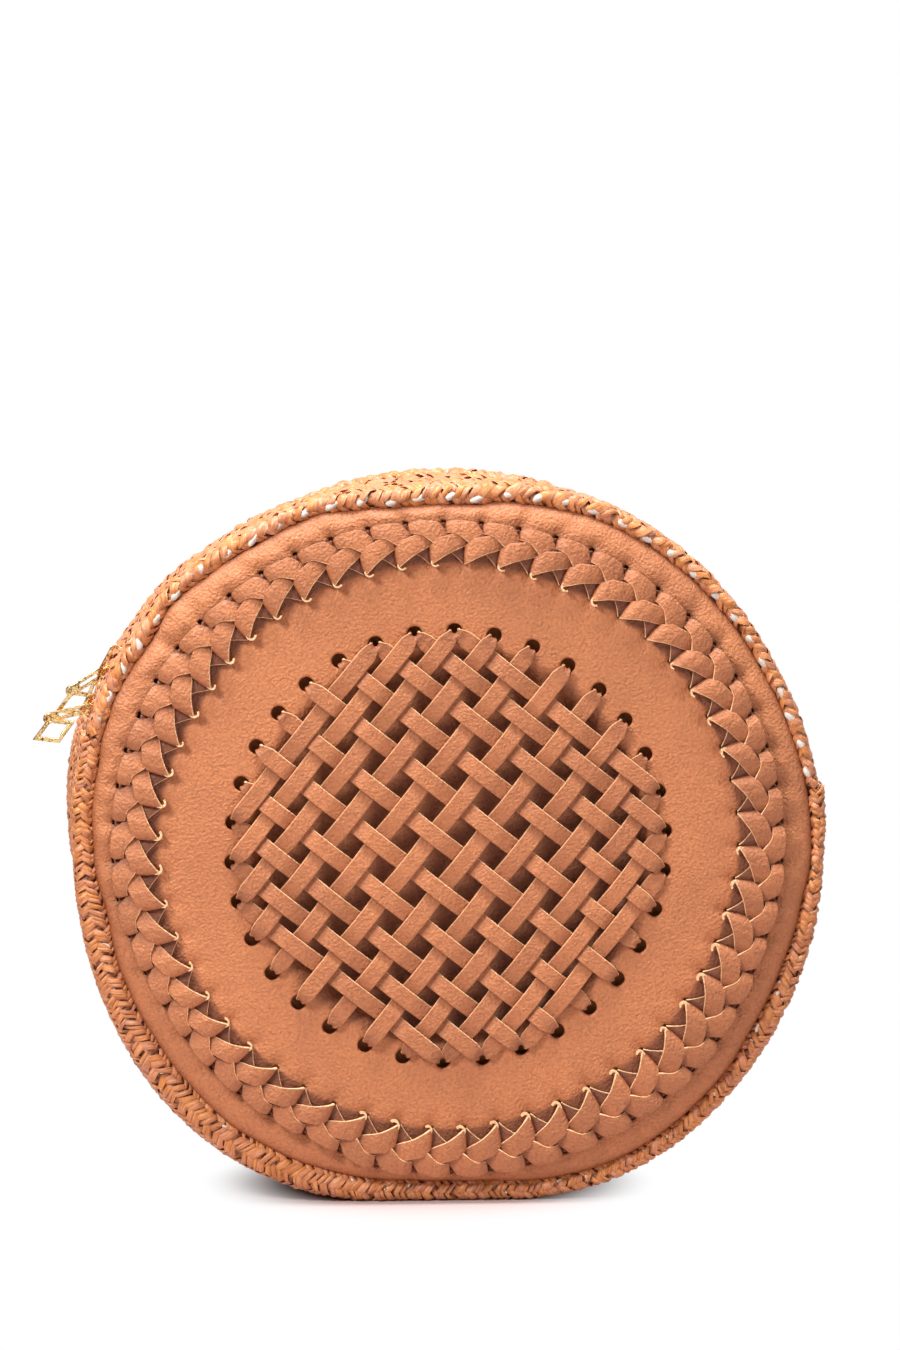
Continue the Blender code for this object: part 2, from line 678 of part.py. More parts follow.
def ring(name, place, side):
    """Rhombic ring that hangs from one of its blunt corners, on the stem's pin."""
    near = side * (BRIDGE_HALF_WIDTH + PIN_CLEARANCE + STEM_THICKNESS + PIN_CLEARANCE)
    far = near + side * RING_DEPTH
    half_corner = math.radians(RING_CORNER_DEG) / 2
    along = RING_SIDE * math.cos(half_corner)
    across = RING_SIDE * math.sin(half_corner)
    rhombus = [(0.0, 0.0), (along, across), (2 * along, 0.0), (along, -across)]
    inner_share = 1.0 - RING_BAR / (RING_SIDE * math.sin(2 * half_corner) / 2)
    hollow = [(along + (x - along) * inner_share, z * inner_share) for x, z in rhombus]
    turn = math.radians(RING_HANG_DEG)
    points, faces = prism(rhombus, near, far)
    frame = add_solid(name, points, faces, "gold", place, turn)
    cut_near, cut_far = near - side * CUT_OVERRUN, far + side * CUT_OVERRUN
    helpers = (
        ("hollow", hollow, cut_near, cut_far, "DIFFERENCE"),
        ("lug", circle(RING_LUG_RADIUS, 2 * PIN_SIDES), near, far, "UNION"),
        ("bore", circle(PIN_RADIUS + PIN_CLEARANCE, PIN_SIDES), cut_near, cut_far, "DIFFERENCE"),
    )
    for label, outline, low, high, operation in helpers:
        points, faces = prism(outline, low, high)
        combine(frame, add_solid(f"{name}_{label}", points, faces, "gold", place, turn), operation)


def zip_hardware():
    """Both sliders stand at the left end: the lower one by the stop, the upper one after it."""
    for label, arc, stem_deg, side in (
        ("lower", SLIDER_LOWER_ARC, STEM_LOWER_DEG, -1),
        ("upper", SLIDER_UPPER_ARC, STEM_UPPER_DEG, 1),
    ):
        slider_deg = JOINT_LEFT_DEG - math.degrees(arc / OUTER_RADIUS)
        slider(f"zip_slider_{label}", slider_deg)
        pivot = pivot_place(slider_deg)
        stem(f"pull_stem_{label}", pivot, stem_deg, side)
        stem_turn = math.radians(stem_deg)
        tip = pivot + Vector((math.cos(stem_turn), 0.0, math.sin(stem_turn))) * STEM_LENGTH
        ring(f"pull_ring_{label}", tip, side)


def main():
    clear_scene()
    panels()
    raffia_bands()
    zip_chain()
    lattice()
    ring_lace()
    zip_hardware()


main()
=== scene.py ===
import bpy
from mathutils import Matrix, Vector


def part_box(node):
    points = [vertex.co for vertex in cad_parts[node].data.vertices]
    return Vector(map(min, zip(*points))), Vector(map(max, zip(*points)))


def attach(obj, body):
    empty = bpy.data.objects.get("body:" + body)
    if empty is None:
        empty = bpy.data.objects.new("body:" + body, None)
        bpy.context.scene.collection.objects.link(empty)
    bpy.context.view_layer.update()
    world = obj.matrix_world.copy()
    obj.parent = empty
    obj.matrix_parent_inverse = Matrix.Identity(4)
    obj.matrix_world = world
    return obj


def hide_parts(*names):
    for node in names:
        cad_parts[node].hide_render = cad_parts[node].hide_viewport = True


bl_info = {
    "name": "Round laced shoulder bag",
    "version": (1, 0, 0),
    "blender": (4, 5, 0),
    "location": "3D View > Sidebar > Bag",
    "description": "Leather, laces, plaited raffia, zip and linings for the bag's packed parts",
    "category": "Object",
}

import math

import bmesh
import bpy
import numpy as np
from bpy.props import FloatProperty, FloatVectorProperty, PointerProperty
from mathutils import Vector

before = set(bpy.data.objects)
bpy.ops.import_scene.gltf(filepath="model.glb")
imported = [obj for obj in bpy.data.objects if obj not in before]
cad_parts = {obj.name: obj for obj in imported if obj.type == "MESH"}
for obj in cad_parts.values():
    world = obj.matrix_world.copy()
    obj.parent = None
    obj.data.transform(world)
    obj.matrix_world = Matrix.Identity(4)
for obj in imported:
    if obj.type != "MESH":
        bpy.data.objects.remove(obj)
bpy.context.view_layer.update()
MM = 0.001

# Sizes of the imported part, in metres and degrees. Angles run counter-clockwise from +X.
OUTER_RADIUS = 0.111
BASE_DROP = 0.1072
HUB_HEIGHT = 0.1041
SQUARENESS = 20
SEAM_DEPTH = 0.029
FACE_SHIFT = -0.0010
FACE_RISE = 0.0029
ROLL_WIDTH = 0.0046
SEWN_GAP = 0.0003
RIM_WIDTH = 0.030
PUFF_HEIGHT = 0.005
LEATHER_THICKNESS = 0.0014
JOINT_LEFT_DEG = 161.2
JOINT_RIGHT_DEG = 10.1
CHANNEL_HALF_WIDTH = 0.006
PAD_INSET = 0.0102
LINING_DISC_INSET = 0.0057
LINING_BAND_INSET = 0.0048
LINING_BAND_THICKNESS = 0.0006
TAPE_INSET = 0.0038
TAPE_THICKNESS = 0.0007
# Ends of the zip panel, and of the lower band, which stays a little clear of it
JOINT_GAP_DEG = 0.25
ZIP_ENDS_DEG = (JOINT_RIGHT_DEG, JOINT_LEFT_DEG)
LOWER_ENDS_DEG = (JOINT_LEFT_DEG + JOINT_GAP_DEG, 360.0 + JOINT_RIGHT_DEG - JOINT_GAP_DEG)
# What would hang below the foot is pressed flat against the floor
FOOT_HEIGHT = 0.0001
# The bands keep their place up to the first depth, and their soft edges move in full from the
# second on
STEADY_DEPTH = 0.0075
LOOSE_DEPTH = 0.0220
# Where the body bulges at the lower left
BULGE_DEG = 226
# How much wider the front roll is at the top and the foot than at the sides, and at the bulge
ROLL_SWELL = 0.0008
ROLL_BULGE = 0.0030

# Holes and strips of the lattice
HOLE_COUNT = 34
HOLE_CIRCLE_RADIUS = 0.064
HOLE_RADIUS = 0.00215
FIRST_HOLE_DEG = 99.0
FIELD_RADIUS = 0.0605
FIELD_SLOPE = 0.0085
# A strip joins two holes whose numbers add up to the sum of its way
RISING_SUM = 10
RISING_FIRST = 8
RISING_COUNT = 12
FALLING_SUM = 27
FALLING_COUNT = 11
STRIP_WIDTH = 0.0052
STRIP_THICKNESS = 0.0010
STRIP_STEP = 0.0013
STRIP_MARGIN = 0.0003
# From a hole's middle to where its strip leaves the flat, and how far a strip is shaded round
# the places where it passes under another
STRIP_DIVE = 0.0042
STRIP_SHADE_REACH = 0.0041

# Braided ring
STITCH_COUNT = 54
FIRST_STITCH_DEG = 90.7
BRAID_INNER_RADIUS = 0.0840
BRAID_INNER_SWELL = 0.0014
BRAID_OUTER_RADIUS = 0.0976
BRAID_OUTER_SWELL = 0.0010
BRAID_OUTER_DROP = 0.0012
# Stitches from an outer slot to the next inner one
INNER_SLOT = 0.55

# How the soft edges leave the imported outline, as (degrees round the outline, millimetres out)
FRONT_EDGE_SHIFTS = (
    (0, 0.0), (30, 0.3), (40, 1.2), (50, 2.0), (60, 2.4), (67, 2.4), (75, 1.5), (80, 1.0), (87, -1.2),
    (98, -0.9), (105, 0.8), (111, 2.4), (120, 2.5), (130, 3.6), (137, 4.8), (145, 3.3), (153, 3.6),
    (160, 2.6), (166, 1.0), (180, 0.0),
)
BACK_EDGE_SHIFTS = (
    (0, 0.0), (40, -0.5), (52, -1.6), (70, -2.0), (80, -2.5), (90, -3.5), (100, -3.4), (110, -1.7),
    (122, -0.3), (140, 2.1), (160, 2.4), (170, 2.0), (180, 1.2), (190, -0.6), (200, 0.0), (230, 0.0),
    (245, -1.4), (262, 0.0),
)
# Change of the front roll's width, as (degrees, millimetres)
ROLL_WIDENINGS = (
    (0, -1.5), (10, -1.5), (20, -1.1), (50, -1.0), (65, -0.8), (78, 0.0), (103, 0.0), (113, -0.9),
    (124, -0.9), (137, -0.9), (146, -0.3), (157, -0.7), (172, -0.6), (180, 0.2), (190, 2.4),
    (200, 1.2), (210, 0.3), (220, -0.9), (230, -1.5), (240, -0.3), (250, 0.3), (270, -0.3),
    (300, -0.4), (320, 0.0), (330, 1.2), (340, 1.2), (350, 0.3),
)
# Change of the braided ring's two edges, as (degrees, millimetres), and of the places of its
# stitches, as (degrees, degrees)
BRAID_OUTER_SHIFTS = (
    (0, 0.2), (20, 0.1), (40, 1.1), (60, 1.1), (80, 0.3), (90, 0.4), (110, 1.4), (140, 1.8),
    (160, 0.9), (180, 0.0), (190, -0.3), (200, -2.0), (210, -2.9), (245, -2.7), (258, 0.0),
    (290, 0.3), (320, 0.8), (330, -0.3), (340, -0.9), (350, -0.3),
)
BRAID_INNER_SHIFTS = (
    (0, 0.0), (60, 0.0), (90, 0.9), (130, 1.0), (150, -0.8), (185, -0.4), (205, -1.6), (230, -1.4),
    (247, 0.0), (272, 1.1), (290, 0.0), (305, -0.5), (345, -1.2),
)
STITCH_SHIFTS = (
    (0, -0.8), (40, -0.8), (60, -0.2), (130, -0.2), (150, -1.2), (182, -2.4), (230, -1.6), (262, -0.5),
)

# The front leather's mesh: its columns divide evenly by the holes and by the stitches, and a
# square block of it round each hole is drawn out into a round one
COLUMNS = 918
HOLE_BLOCK = 8
HOLE_BLOCK_OPEN = 4


# Settings that a user would change


def linear(code):
    """A colour in Blender's linear values from its sRGB hex code."""
    values = [int(code[i : i + 2], 16) / 255 for i in (1, 3, 5)]
    return tuple(v / 12.92 if v <= 0.04045 else ((v + 0.055) / 1.055) ** 2.4 for v in values)


def colour_property(name, description, code):
    return FloatVectorProperty(
        name=name, description=description, subtype="COLOR", size=3, min=0, max=1, default=linear(code)
    )


def length_property(name, description, value):
    return FloatProperty(name=name, description=description, default=value, min=0, unit="LENGTH")


class LeatherSettings(bpy.types.PropertyGroup):
    face: colour_property("Face", "Dyed grain of the panels", "#D78958")
    # Deep tints the grain and mottle of the dye, and is also the painted shade under the lattice, laces
    # and strips and along the seams
    deep: colour_property("Deep", "Darker dye in folds and under the lattice", "#74402A")
    raw_edge: colour_property("Raw edge", "Cut edges of the strips and laces", "#F8CE9C")
    field_sink: length_property("Sunk field", "How far the leather lies back under the lattice", 0.0036)
    lace_thickness: length_property("Lace thickness", "Thickness of the braided lace", 0.0010)
    strip_bevel: length_property("Strip bevel", "Width of the strips' bevelled edges", 0.00026)


class RaffiaSettings(bpy.types.PropertyGroup):
    orange: colour_property("Orange", "Main colour of the plaited straw", "#DE8C45")
    pink: colour_property("Pink", "Pinkish strands among the others", "#D88E68")
    pale: colour_property("Pale", "Pale streaks along the strands", "#F7D3A6")
    brown: colour_property("Brown", "Dark streaks and blotches", "#A45A2C")
    # The gap colour is painted shade on the straw between and under the strands
    gap: colour_property("Gap", "Straw deep between the strands", "#7A4020")
    row_width: length_property("Row width", "Width of one row of the zip panel's plait", 0.0030)
    fine_row_width: length_property("Fine row width", "Width of one row of the lower plait", 0.0020)
    strand_share: FloatProperty(
        name="Strand share", description="Strand's width in its row", default=0.98, subtype="FACTOR"
    )
    strand_rise: length_property("Strand rise", "How far strands rise over each other", 0.0005)


class FabricSettings(bpy.types.PropertyGroup):
    lining: colour_property("Lining", "Cotton of the lining", "#D9CDB8")
    felt: colour_property("Felt", "Felt pads behind the leather", "#B47A50")
    tape: colour_property("Tape", "Woven tapes of the zip", "#A9683A")
    thread: colour_property("Thread", "White sewing thread", "#F2EBE0")


class MetalSettings(bpy.types.PropertyGroup):
    gold: colour_property("Gold", "Plated sliders, stems and rings", "#F8D092")
    teeth: colour_property("Teeth", "Zip teeth and stops", "#E2C48C")


class StageSettings(bpy.types.PropertyGroup):
    camera_distance: length_property("Camera distance", "From the bag's face", 1.8)
    # The floor's pinkish tint is painted light: it stands in for light bounced off the bag into its
    # shadow
    floor: colour_property("Floor", "Studio floor, which the camera sees brighter", "#CCB9B6")


# Numbers and shapes


def smooth_step(value):
    value = np.clip(value, 0.0, 1.0)
    return value * value * (3 - 2 * value)


def outline_radius(angle, inset):
    """Radius of the body's outline: round, pressed flat towards the foot."""
    down = np.maximum(-np.sin(angle), 1e-6)
    round_radius = OUTER_RADIUS - inset
    flat_radius = (BASE_DROP - inset) / down
    pressed = (round_radius**-SQUARENESS + flat_radius**-SQUARENESS) ** (-1 / SQUARENESS)
    return np.minimum(pressed, (HUB_HEIGHT - inset) / down)


def polar_place(angle, radius, y):
    """Points at an angle and radius about the hub, and a depth along Y."""
    angle, radius, y = np.broadcast_arrays(angle, radius, y)
    return np.stack([radius * np.cos(angle), y, HUB_HEIGHT + radius * np.sin(angle)], axis=-1)


def face_place(angle, radius, y):
    """The same about the centre of the lattice and braid."""
    return polar_place(angle, radius, y) + np.array([FACE_SHIFT, 0.0, FACE_RISE])


def face_polar(angle, radius):
    """Angle and radius about the hub of a place given about the centre of the lattice and braid."""
    x, z = radius * np.cos(angle) + FACE_SHIFT, radius * np.sin(angle) + FACE_RISE
    return np.arctan2(z, x), np.hypot(x, z)


def bump(angle, centre_deg, width_deg):
    """1 at an angle of the outline, falling off smoothly on both sides."""
    away = np.angle(np.exp(1j * (angle - math.radians(centre_deg))))
    return np.exp(-((away / math.radians(width_deg)) ** 2))


def around(marks, angle):
    """A value round the outline from marks of (degrees, value), eased from each to the next."""
    degrees, values = np.array(marks + ((marks[0][0] + 360, marks[0][1]),), float).T
    turned = np.mod(np.degrees(angle) - degrees[0], 360) + degrees[0]
    i = np.clip(np.searchsorted(degrees, turned, side="right") - 1, 0, len(degrees) - 2)
    share = smooth_step((turned - degrees[i]) / (degrees[i + 1] - degrees[i]))
    return values[i] + (values[i + 1] - values[i]) * share


def roll_width(angle):
    """Width of the raffia roll before the leather."""
    wide = ROLL_WIDTH + ROLL_SWELL * np.sin(angle) ** 2 + ROLL_BULGE * bump(angle, BULGE_DEG, 24)
    return wide + around(ROLL_WIDENINGS, angle) * MM


def edge_shift(angle, depth):
    """How far a soft edge stands out at a depth; the middle of the bands stays in place."""
    share = smooth_step((np.abs(depth) - STEADY_DEPTH) / (LOOSE_DEPTH - STEADY_DEPTH))
    front, back = around(FRONT_EDGE_SHIFTS, angle), around(BACK_EDGE_SHIFTS, angle)
    return np.where(np.asarray(depth) < 0, front, back) * share * MM


def seam_inset(angle, side):
    """Inset of the leather's seam in front (side -1) or at the back (side 1)."""
    return roll_width(angle) + SEWN_GAP - edge_shift(angle, side * SEAM_DEPTH)


def smooth_curve(marks, count):
    """Points spread evenly by number along a smooth curve through marks."""
    marks = np.asarray(marks, float)
    steps = np.linalg.norm(np.diff(marks, axis=0), axis=1)
    along = np.concatenate([[0.0], np.cumsum(steps)]) / steps.sum()
    slopes = np.gradient(marks, along, axis=0)
    at = np.linspace(0.0, 1.0, count)
    i = np.clip(np.searchsorted(along, at, side="right") - 1, 0, len(marks) - 2)
    span = (along[i + 1] - along[i])[:, None]
    t = (at - along[i])[:, None] / span
    first = (2 * t**3 - 3 * t**2 + 1) * marks[i] + (t**3 - 2 * t**2 + t) * span * slopes[i]
    last = (3 * t**2 - 2 * t**3) * marks[i + 1] + (t**3 - t**2) * span * slopes[i + 1]
    return first + last


def outline_lengths(low_deg, high_deg):
    """Angles along a stretch of the outline, and the length of the outline up to each."""
    angles = np.radians(np.linspace(low_deg, high_deg, 1500))
    place = polar_place(angles, outline_radius(angles, 0.0), 0.0)
    steps = np.linalg.norm(np.diff(place, axis=0), axis=1)
    return angles, np.concatenate([[0.0], np.cumsum(steps)])


class Skin:
    """Gathers lofted shapes into one mesh, with values at its points for the materials."""

    def __init__(self):
        self.points, self.quads, self.caps, self.values = [], [], [], {}
        self.count = 0

    def add(self, points, quads, caps=(), **values):
        points = np.array(points, float).reshape(-1, 3)
        points[:, 2] = np.maximum(points[:, 2], FOOT_HEIGHT)
        self.quads.append(np.asarray(quads).reshape(-1, 4) + self.count)
        self.caps += [np.asarray(cap) + self.count for cap in caps]
        for name, value in values.items():
            self.values.setdefault(name, []).append(np.broadcast_to(value, len(points)))
        self.points.append(points)
        self.count += len(points)

    def loft(self, sections, **values):
        """A closed skin through rings of points, with a cap at each end."""
        rows, ring = sections.shape[:2]
        index = np.arange(rows * ring).reshape(rows, ring)
        turned = np.roll(index, -1, axis=1)
        quads = np.stack([index[:-1], turned[:-1], turned[1:], index[1:]], axis=-1)
        flat = {name: np.broadcast_to(v, (rows, ring)).reshape(-1) for name, v in values.items()}
        self.add(sections, quads, [index[0][::-1], index[-1]], **flat)

    def piece(self, name, material, nodes=(), slot=None, sharp_deg=50.0, outward=True):
        """The finished object, which rides on the bag's body."""
        points = np.concatenate(self.points)
        quads = np.concatenate(self.quads)
        used, corners = np.unique(np.concatenate([quads.ravel()] + self.caps), return_inverse=True)
        sizes = np.array([4] * len(quads) + [len(cap) for cap in self.caps], np.int32)
        mesh = bpy.data.meshes.new(name)
        mesh.vertices.add(len(used))
        mesh.vertices.foreach_set("co", points[used].astype(np.float32).ravel())
        mesh.loops.add(len(corners))
        mesh.loops.foreach_set("vertex_index", corners.astype(np.int32).ravel())
        mesh.polygons.add(len(sizes))
        mesh.polygons.foreach_set("loop_start", (np.cumsum(sizes) - sizes).astype(np.int32))
        for label, parts in self.values.items():
            layer = mesh.attributes.new(label, "FLOAT", "POINT")
            layer.data.foreach_set("value", np.concatenate(parts)[used].astype(np.float32))
        mesh.update(calc_edges=True)
        mesh.validate()
        if outward:
            shape = bmesh.new()
            shape.from_mesh(mesh)
            bmesh.ops.recalc_face_normals(shape, faces=shape.faces)
            shape.to_mesh(mesh)
            shape.free()
        mesh.materials.append(material)
        mesh.shade_smooth()
        mesh.set_sharp_from_angle(angle=math.radians(sharp_deg))
        return dress(bpy.data.objects.new(name, mesh), "root", nodes)


def dress(piece, body, nodes):
    """Links a finished piece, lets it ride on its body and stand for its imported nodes."""
    bpy.context.scene.collection.objects.link(piece)
    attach(piece, body)
    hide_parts(*nodes)
    return piece


def thick_ribbon(skin, grid, across, thickness, bevel, deep, pale):
    """A flat ribbon of even thickness on a grid of middle points, with bevelled edges. pale is
    how pale its two cut edges are."""
    normal = np.cross(np.gradient(grid, axis=0), np.gradient(grid, axis=1))
    normal /= np.linalg.norm(normal, axis=-1, keepdims=True) + 1e-12
    rise = np.where(np.abs(across) > 0.999, thickness / 2 - bevel, thickness / 2)
    top = grid + normal * rise[None, :, None]
    under = grid - normal * rise[None, :, None]
    edge = np.where(across < -0.999, pale[0], np.where(across > 0.93, pale[1], 0.0))
    skin.loft(
        np.concatenate([top, under[:, ::-1]], axis=1),
        cut_edge=np.concatenate([edge, edge[::-1]])[None, :],
        deep=np.concatenate([deep, deep[:, ::-1]], axis=1),
    )


# Materials

COLOUR_MIX = {"data_type": "RGBA"}


def add_node(tree, kind, settings=None, inputs=None):
    """Adds a shader node. An input is a value, an output, or a node, which gives its first output."""
    made = tree.nodes.new("ShaderNode" + kind)
    for name, value in (settings or {}).items():
        setattr(made, name, value)
    for name, value in (inputs or {}).items():
        socket = made.inputs[name]
        if isinstance(value, bpy.types.Node):
            value = value.outputs[0]
        if isinstance(value, bpy.types.NodeSocket):
            tree.links.new(value, socket)
        elif socket.type == "RGBA":
            socket.default_value = (*tuple(value)[:3], 1.0)
        else:
            socket.default_value = value
    return made


def start_material(name):
    """An empty material with its node tree and the piece's own coordinates."""
    made = bpy.data.materials.new(name)
    made.use_nodes = True
    made.node_tree.nodes.clear()
    return made, made.node_tree, add_node(made.node_tree, "TexCoord").outputs["Object"]


def close_material(made, kind, inputs):
    """Gives the material its shader of a kind and its output."""
    shader = add_node(made.node_tree, kind, None, inputs)
    add_node(made.node_tree, "OutputMaterial", None, {"Surface": shader})
    return made


def tint_over(tree, colour, layers):
    """Lays tints over a colour, one by one. A layer is the tint and the value that says how
    strong it is, with the value's range and the tint's strength at both ends where these differ."""
    for tint, value, *ends in layers:
        if ends:
            span = dict(zip(("From Min", "From Max", "To Min", "To Max"), ends))
            value = add_node(tree, "MapRange", None, {"Value": value, **span})
        colour = add_node(tree, "Mix", COLOUR_MIX, {0: value, 6: colour, 7: tint}).outputs[2]
    return colour


def leather_material(name, cut=False):
    """Vegetable-tanned cowhide, drum-dyed tan and lightly waxed: an even satin face with a fine
    pebbled grain, a soft mottle of the dye, painted shade under the lattice, the laces and the dents
    of their slots, along the seams and where strips pass under, and a pale fibrous edge where it was cut."""
    settings = bpy.context.scene.bag_leather
    made, tree, places = start_material(name)
    mottle = add_node(tree, "TexNoise", None, {"Vector": places, "Scale": 1 / (24 * MM), "Detail": 3.0})
    grain = add_node(tree, "TexNoise", None, {"Vector": places, "Scale": 1 / (0.9 * MM), "Detail": 5.0})
    # Pebbles are drawn 0.75 mm wide, about twice their real size, so that they show
    pebbles = {"Vector": places, "Scale": 1 / (0.75 * MM)}
    pebble = add_node(tree, "TexVoronoi", {"feature": "SMOOTH_F1"}, pebbles)
    # The deep attribute holds a random tone of each strip and lace, and painted shade: under the lattice
    # and laces, along the seams and where strips and laces pass under each other
    shade = add_node(tree, "Attribute", {"attribute_name": "deep"})
    layers = [
        (settings.deep, mottle, 0.35, 0.65, 0.0, 0.16),
        (settings.deep, grain, 0.35, 0.65, 0.0, 0.22),
        (settings.deep, pebble, 0.35, 0.75, 0.0, 0.22),
        (settings.deep, shade.outputs["Fac"]),
    ]
    if cut:
        edge = add_node(tree, "Attribute", {"attribute_name": "cut_edge"})
        layers.append((settings.raw_edge, edge.outputs["Fac"]))
    dyed = tint_over(tree, settings.face, layers)
    height = add_node(tree, "Math", {"operation": "MULTIPLY_ADD"}, {0: grain, 1: 1.2, 2: pebble})
    relief = add_node(tree, "Bump", None, {"Height": height, "Strength": 0.9, "Distance": 0.30 * MM})
    inputs = {"Base Color": dyed, "Roughness": 0.55, "IOR": 1.5, "Normal": relief}
    return close_material(made, "BsdfPrincipled", inputs)


def raw_edge_material():
    """Cut edge of cowhide, unpainted: pale, matt and fibrous."""
    settings = bpy.context.scene.bag_leather
    made, tree, places = start_material("raw_leather_edge")
    fibre = add_node(tree, "TexNoise", None, {"Vector": places, "Scale": 1 / (0.5 * MM)})
    colour = tint_over(tree, settings.raw_edge, [(settings.face, fibre)])
    return close_material(made, "BsdfPrincipled", {"Base Color": colour, "Roughness": 0.85, "IOR": 1.5})


def raffia_material():
    """Raffia palm straw, dyed and plaited: flat silky strands with fine lengthwise fibres, each
    strand of its own tone from pinkish to orange, with paler streaks, and painted shade where it
    passes under the next and on the straw between the strands."""
    settings = bpy.context.scene.bag_raffia
    made, tree, places = start_material("plaited_raffia")
    tone, lift, across, length = [
        add_node(tree, "Attribute", {"attribute_name": label}).outputs["Fac"]
        for label in ("tone", "lift", "across", "length")
    ]
    # A strand is 2 units across for its 3 mm, so that this scale draws fibres 0.6 mm wide
    lines = add_node(tree, "CombineXYZ", None, {"X": across, "Y": length, "Z": tone})
    fibres = {"Vector": lines, "Scale": 2.6, "Detail": 4.0, "Roughness": 0.65}
    fibre = add_node(tree, "TexNoise", None, fibres)
    blotch = add_node(tree, "TexNoise", None, {"Vector": places, "Scale": 1 / (5 * MM), "Detail": 3.0})
    layers = (
        (settings.pink, tone),
        (settings.pale, fibre, 0.54, 0.70, 0.0, 0.70),
        (settings.brown, fibre, 0.48, 0.34, 0.0, 0.80),
        (settings.brown, blotch, 0.45, 0.70, 0.0, 0.45),
        # Painted shade where a strand dips under the next
        (settings.gap, lift, 0.05, 0.50, 0.90, 0.0),
    )
    inputs = {
        "Base Color": tint_over(tree, settings.orange, layers),
        "Normal": add_node(tree, "Bump", None, {"Height": fibre, "Strength": 0.9, "Distance": 0.25 * MM}),
        "Roughness": 0.42,
        "IOR": 1.5,
        "Sheen Weight": 0.15,
        "Sheen Roughness": 0.4,
    }
    return close_material(made, "BsdfPrincipled", inputs)


def woven_material(name, colour, thread_mm, roughness=0.85):
    """Plain-woven cloth: threads over and under each other, matt, with a slight fuzz."""
    made, tree, places = start_material(name)
    # Blender's waves are 0.31 m long at scale 1, so that each takes in about two threads
    waves = {"Vector": places, "Scale": 1 / (6 * thread_mm * MM), "Distortion": 1.5}
    warp = add_node(tree, "TexWave", {"bands_direction": "DIAGONAL"}, waves)
    fuzz = add_node(tree, "TexNoise", None, {"Vector": places, "Scale": 1 / (0.6 * MM)})
    shade = tint_over(tree, warp.outputs["Fac"], [(fuzz, 0.35)])
    inputs = {
        "Base Color": tint_over(tree, [c * 0.72 for c in colour], [(colour, shade)]),
        "Normal": add_node(tree, "Bump", None, {"Height": shade, "Strength": 0.5, "Distance": 0.2 * MM}),
        "Roughness": roughness,
        "IOR": 1.5,
    }
    return close_material(made, "BsdfPrincipled", inputs)


def plated_metal_material(name, colour, roughness):
    """Zinc die castings and stamped brass teeth, polished and plated pale gold: mirror-bright, with
    faint hairlines and the slight waves that polishing leaves."""
    made, tree, places = start_material(name)
    hairline = add_node(tree, "TexNoise", None, {"Vector": places, "Scale": 1 / (1.2 * MM)})
    polish = {"Value": hairline, "To Min": roughness * 0.7, "To Max": roughness * 1.4}
    swell = add_node(tree, "TexNoise", None, {"Vector": places, "Scale": 1 / (2.2 * MM), "Detail": 1.0})
    inputs = {
        "Base Color": colour,
        "Metallic": 1.0,
        "Roughness": add_node(tree, "MapRange", None, polish),
        "Normal": add_node(tree, "Bump", None, {"Height": swell, "Strength": 1.0, "Distance": 0.3 * MM}),
    }
    return close_material(made, "BsdfPrincipled", inputs)


# Front and back leather

# Slots of the laces in one stitch, as (stitches from the first slot, share across the ring of the
# slot's two ends)
SLOT_SPANS = ((-0.06, 0.80, 1.05), (INNER_SLOT, 0.02, 0.47))
# Dents round the slots, as (stitches from the first slot, half width in stitches, middle and half
# width across the ring, depth), and how far across the ring they fade out
SLOT_DENTS = ((-0.03, 0.16, 0.92, 0.14, 0.0008), (INNER_SLOT, 0.17, 0.20, 0.20, 0.0007))
DENT_FADE = 0.14
# The leather turns down towards its seam by this depth, mostly within this distance, and its edge
# then goes on under the roll, outwards and backwards
SEAM_TURN_DEPTH = 0.0013
SEAM_TURN_REACH = 0.0008
TUCK_OUT = 0.0002
TUCK_BACK = 0.0012
# Rounding of the punched holes' edges
HOLE_LIP = 0.0005
# Puckers outside the braided ring and folds inside it, in step with its slots, and how far the
# laces press the leather under them
PUCKER_HEIGHT = 0.00025
FOLD_HEIGHT = 0.00018
PRESSED_DEPTH = 0.00045
# Ripples and creases along the seam: their height, how far inside it they lie, and their reach
RIPPLE_HEIGHT = 0.00022
RIPPLE_INSET = 0.0035
RIPPLE_REACH = 0.004
CREASE_DEPTH = 0.0007
CREASE_INSET = 0.0055
CREASE_REACH = 0.0035
# Radii of the sunk field's coarse rings of points, where its fine ones begin, and how far these
# stay from the blocks round the holes
COARSE_FIELD_RINGS = (0.018, 0.036, 0.049)
FINE_FIELD_RADIUS = 0.0515
FINE_FIELD_GAP = 0.0008
# Where the braid's rings of points begin and end, as shares across the braided ring
BRAID_MESH_SHARES = (-0.16, 1.10)
# Reach of the painted shade along the seam, a dark line, and of the painted shade under the lattice that
# grows to the lower right
SEAM_SHADE_REACH = 0.0011
FIELD_SHADE_REACH = 0.085
# Sharp creases of the gathered leather, as (degrees, half width in degrees, depth share)
CREASES = ((153.5, 2.2, 1.0), (143.5, 1.8, 1.0), (136, 1.6, 0.8), (126.5, 1.5, 0.6), (45, 3.0, 0.5))


def braid_ring_radius(angle, share):
    """Radius in the braided ring at a share of the way from its inner to its outer edge."""
    inner = BRAID_INNER_RADIUS + BRAID_INNER_SWELL * np.cos(2 * angle)
    inner = inner + around(BRAID_INNER_SHIFTS, angle) * MM
    outer = BRAID_OUTER_RADIUS + BRAID_OUTER_SWELL * np.cos(2 * angle)
    outer = outer - BRAID_OUTER_DROP * np.sin(angle) + around(BRAID_OUTER_SHIFTS, angle) * MM
    return inner + (outer - inner) * share


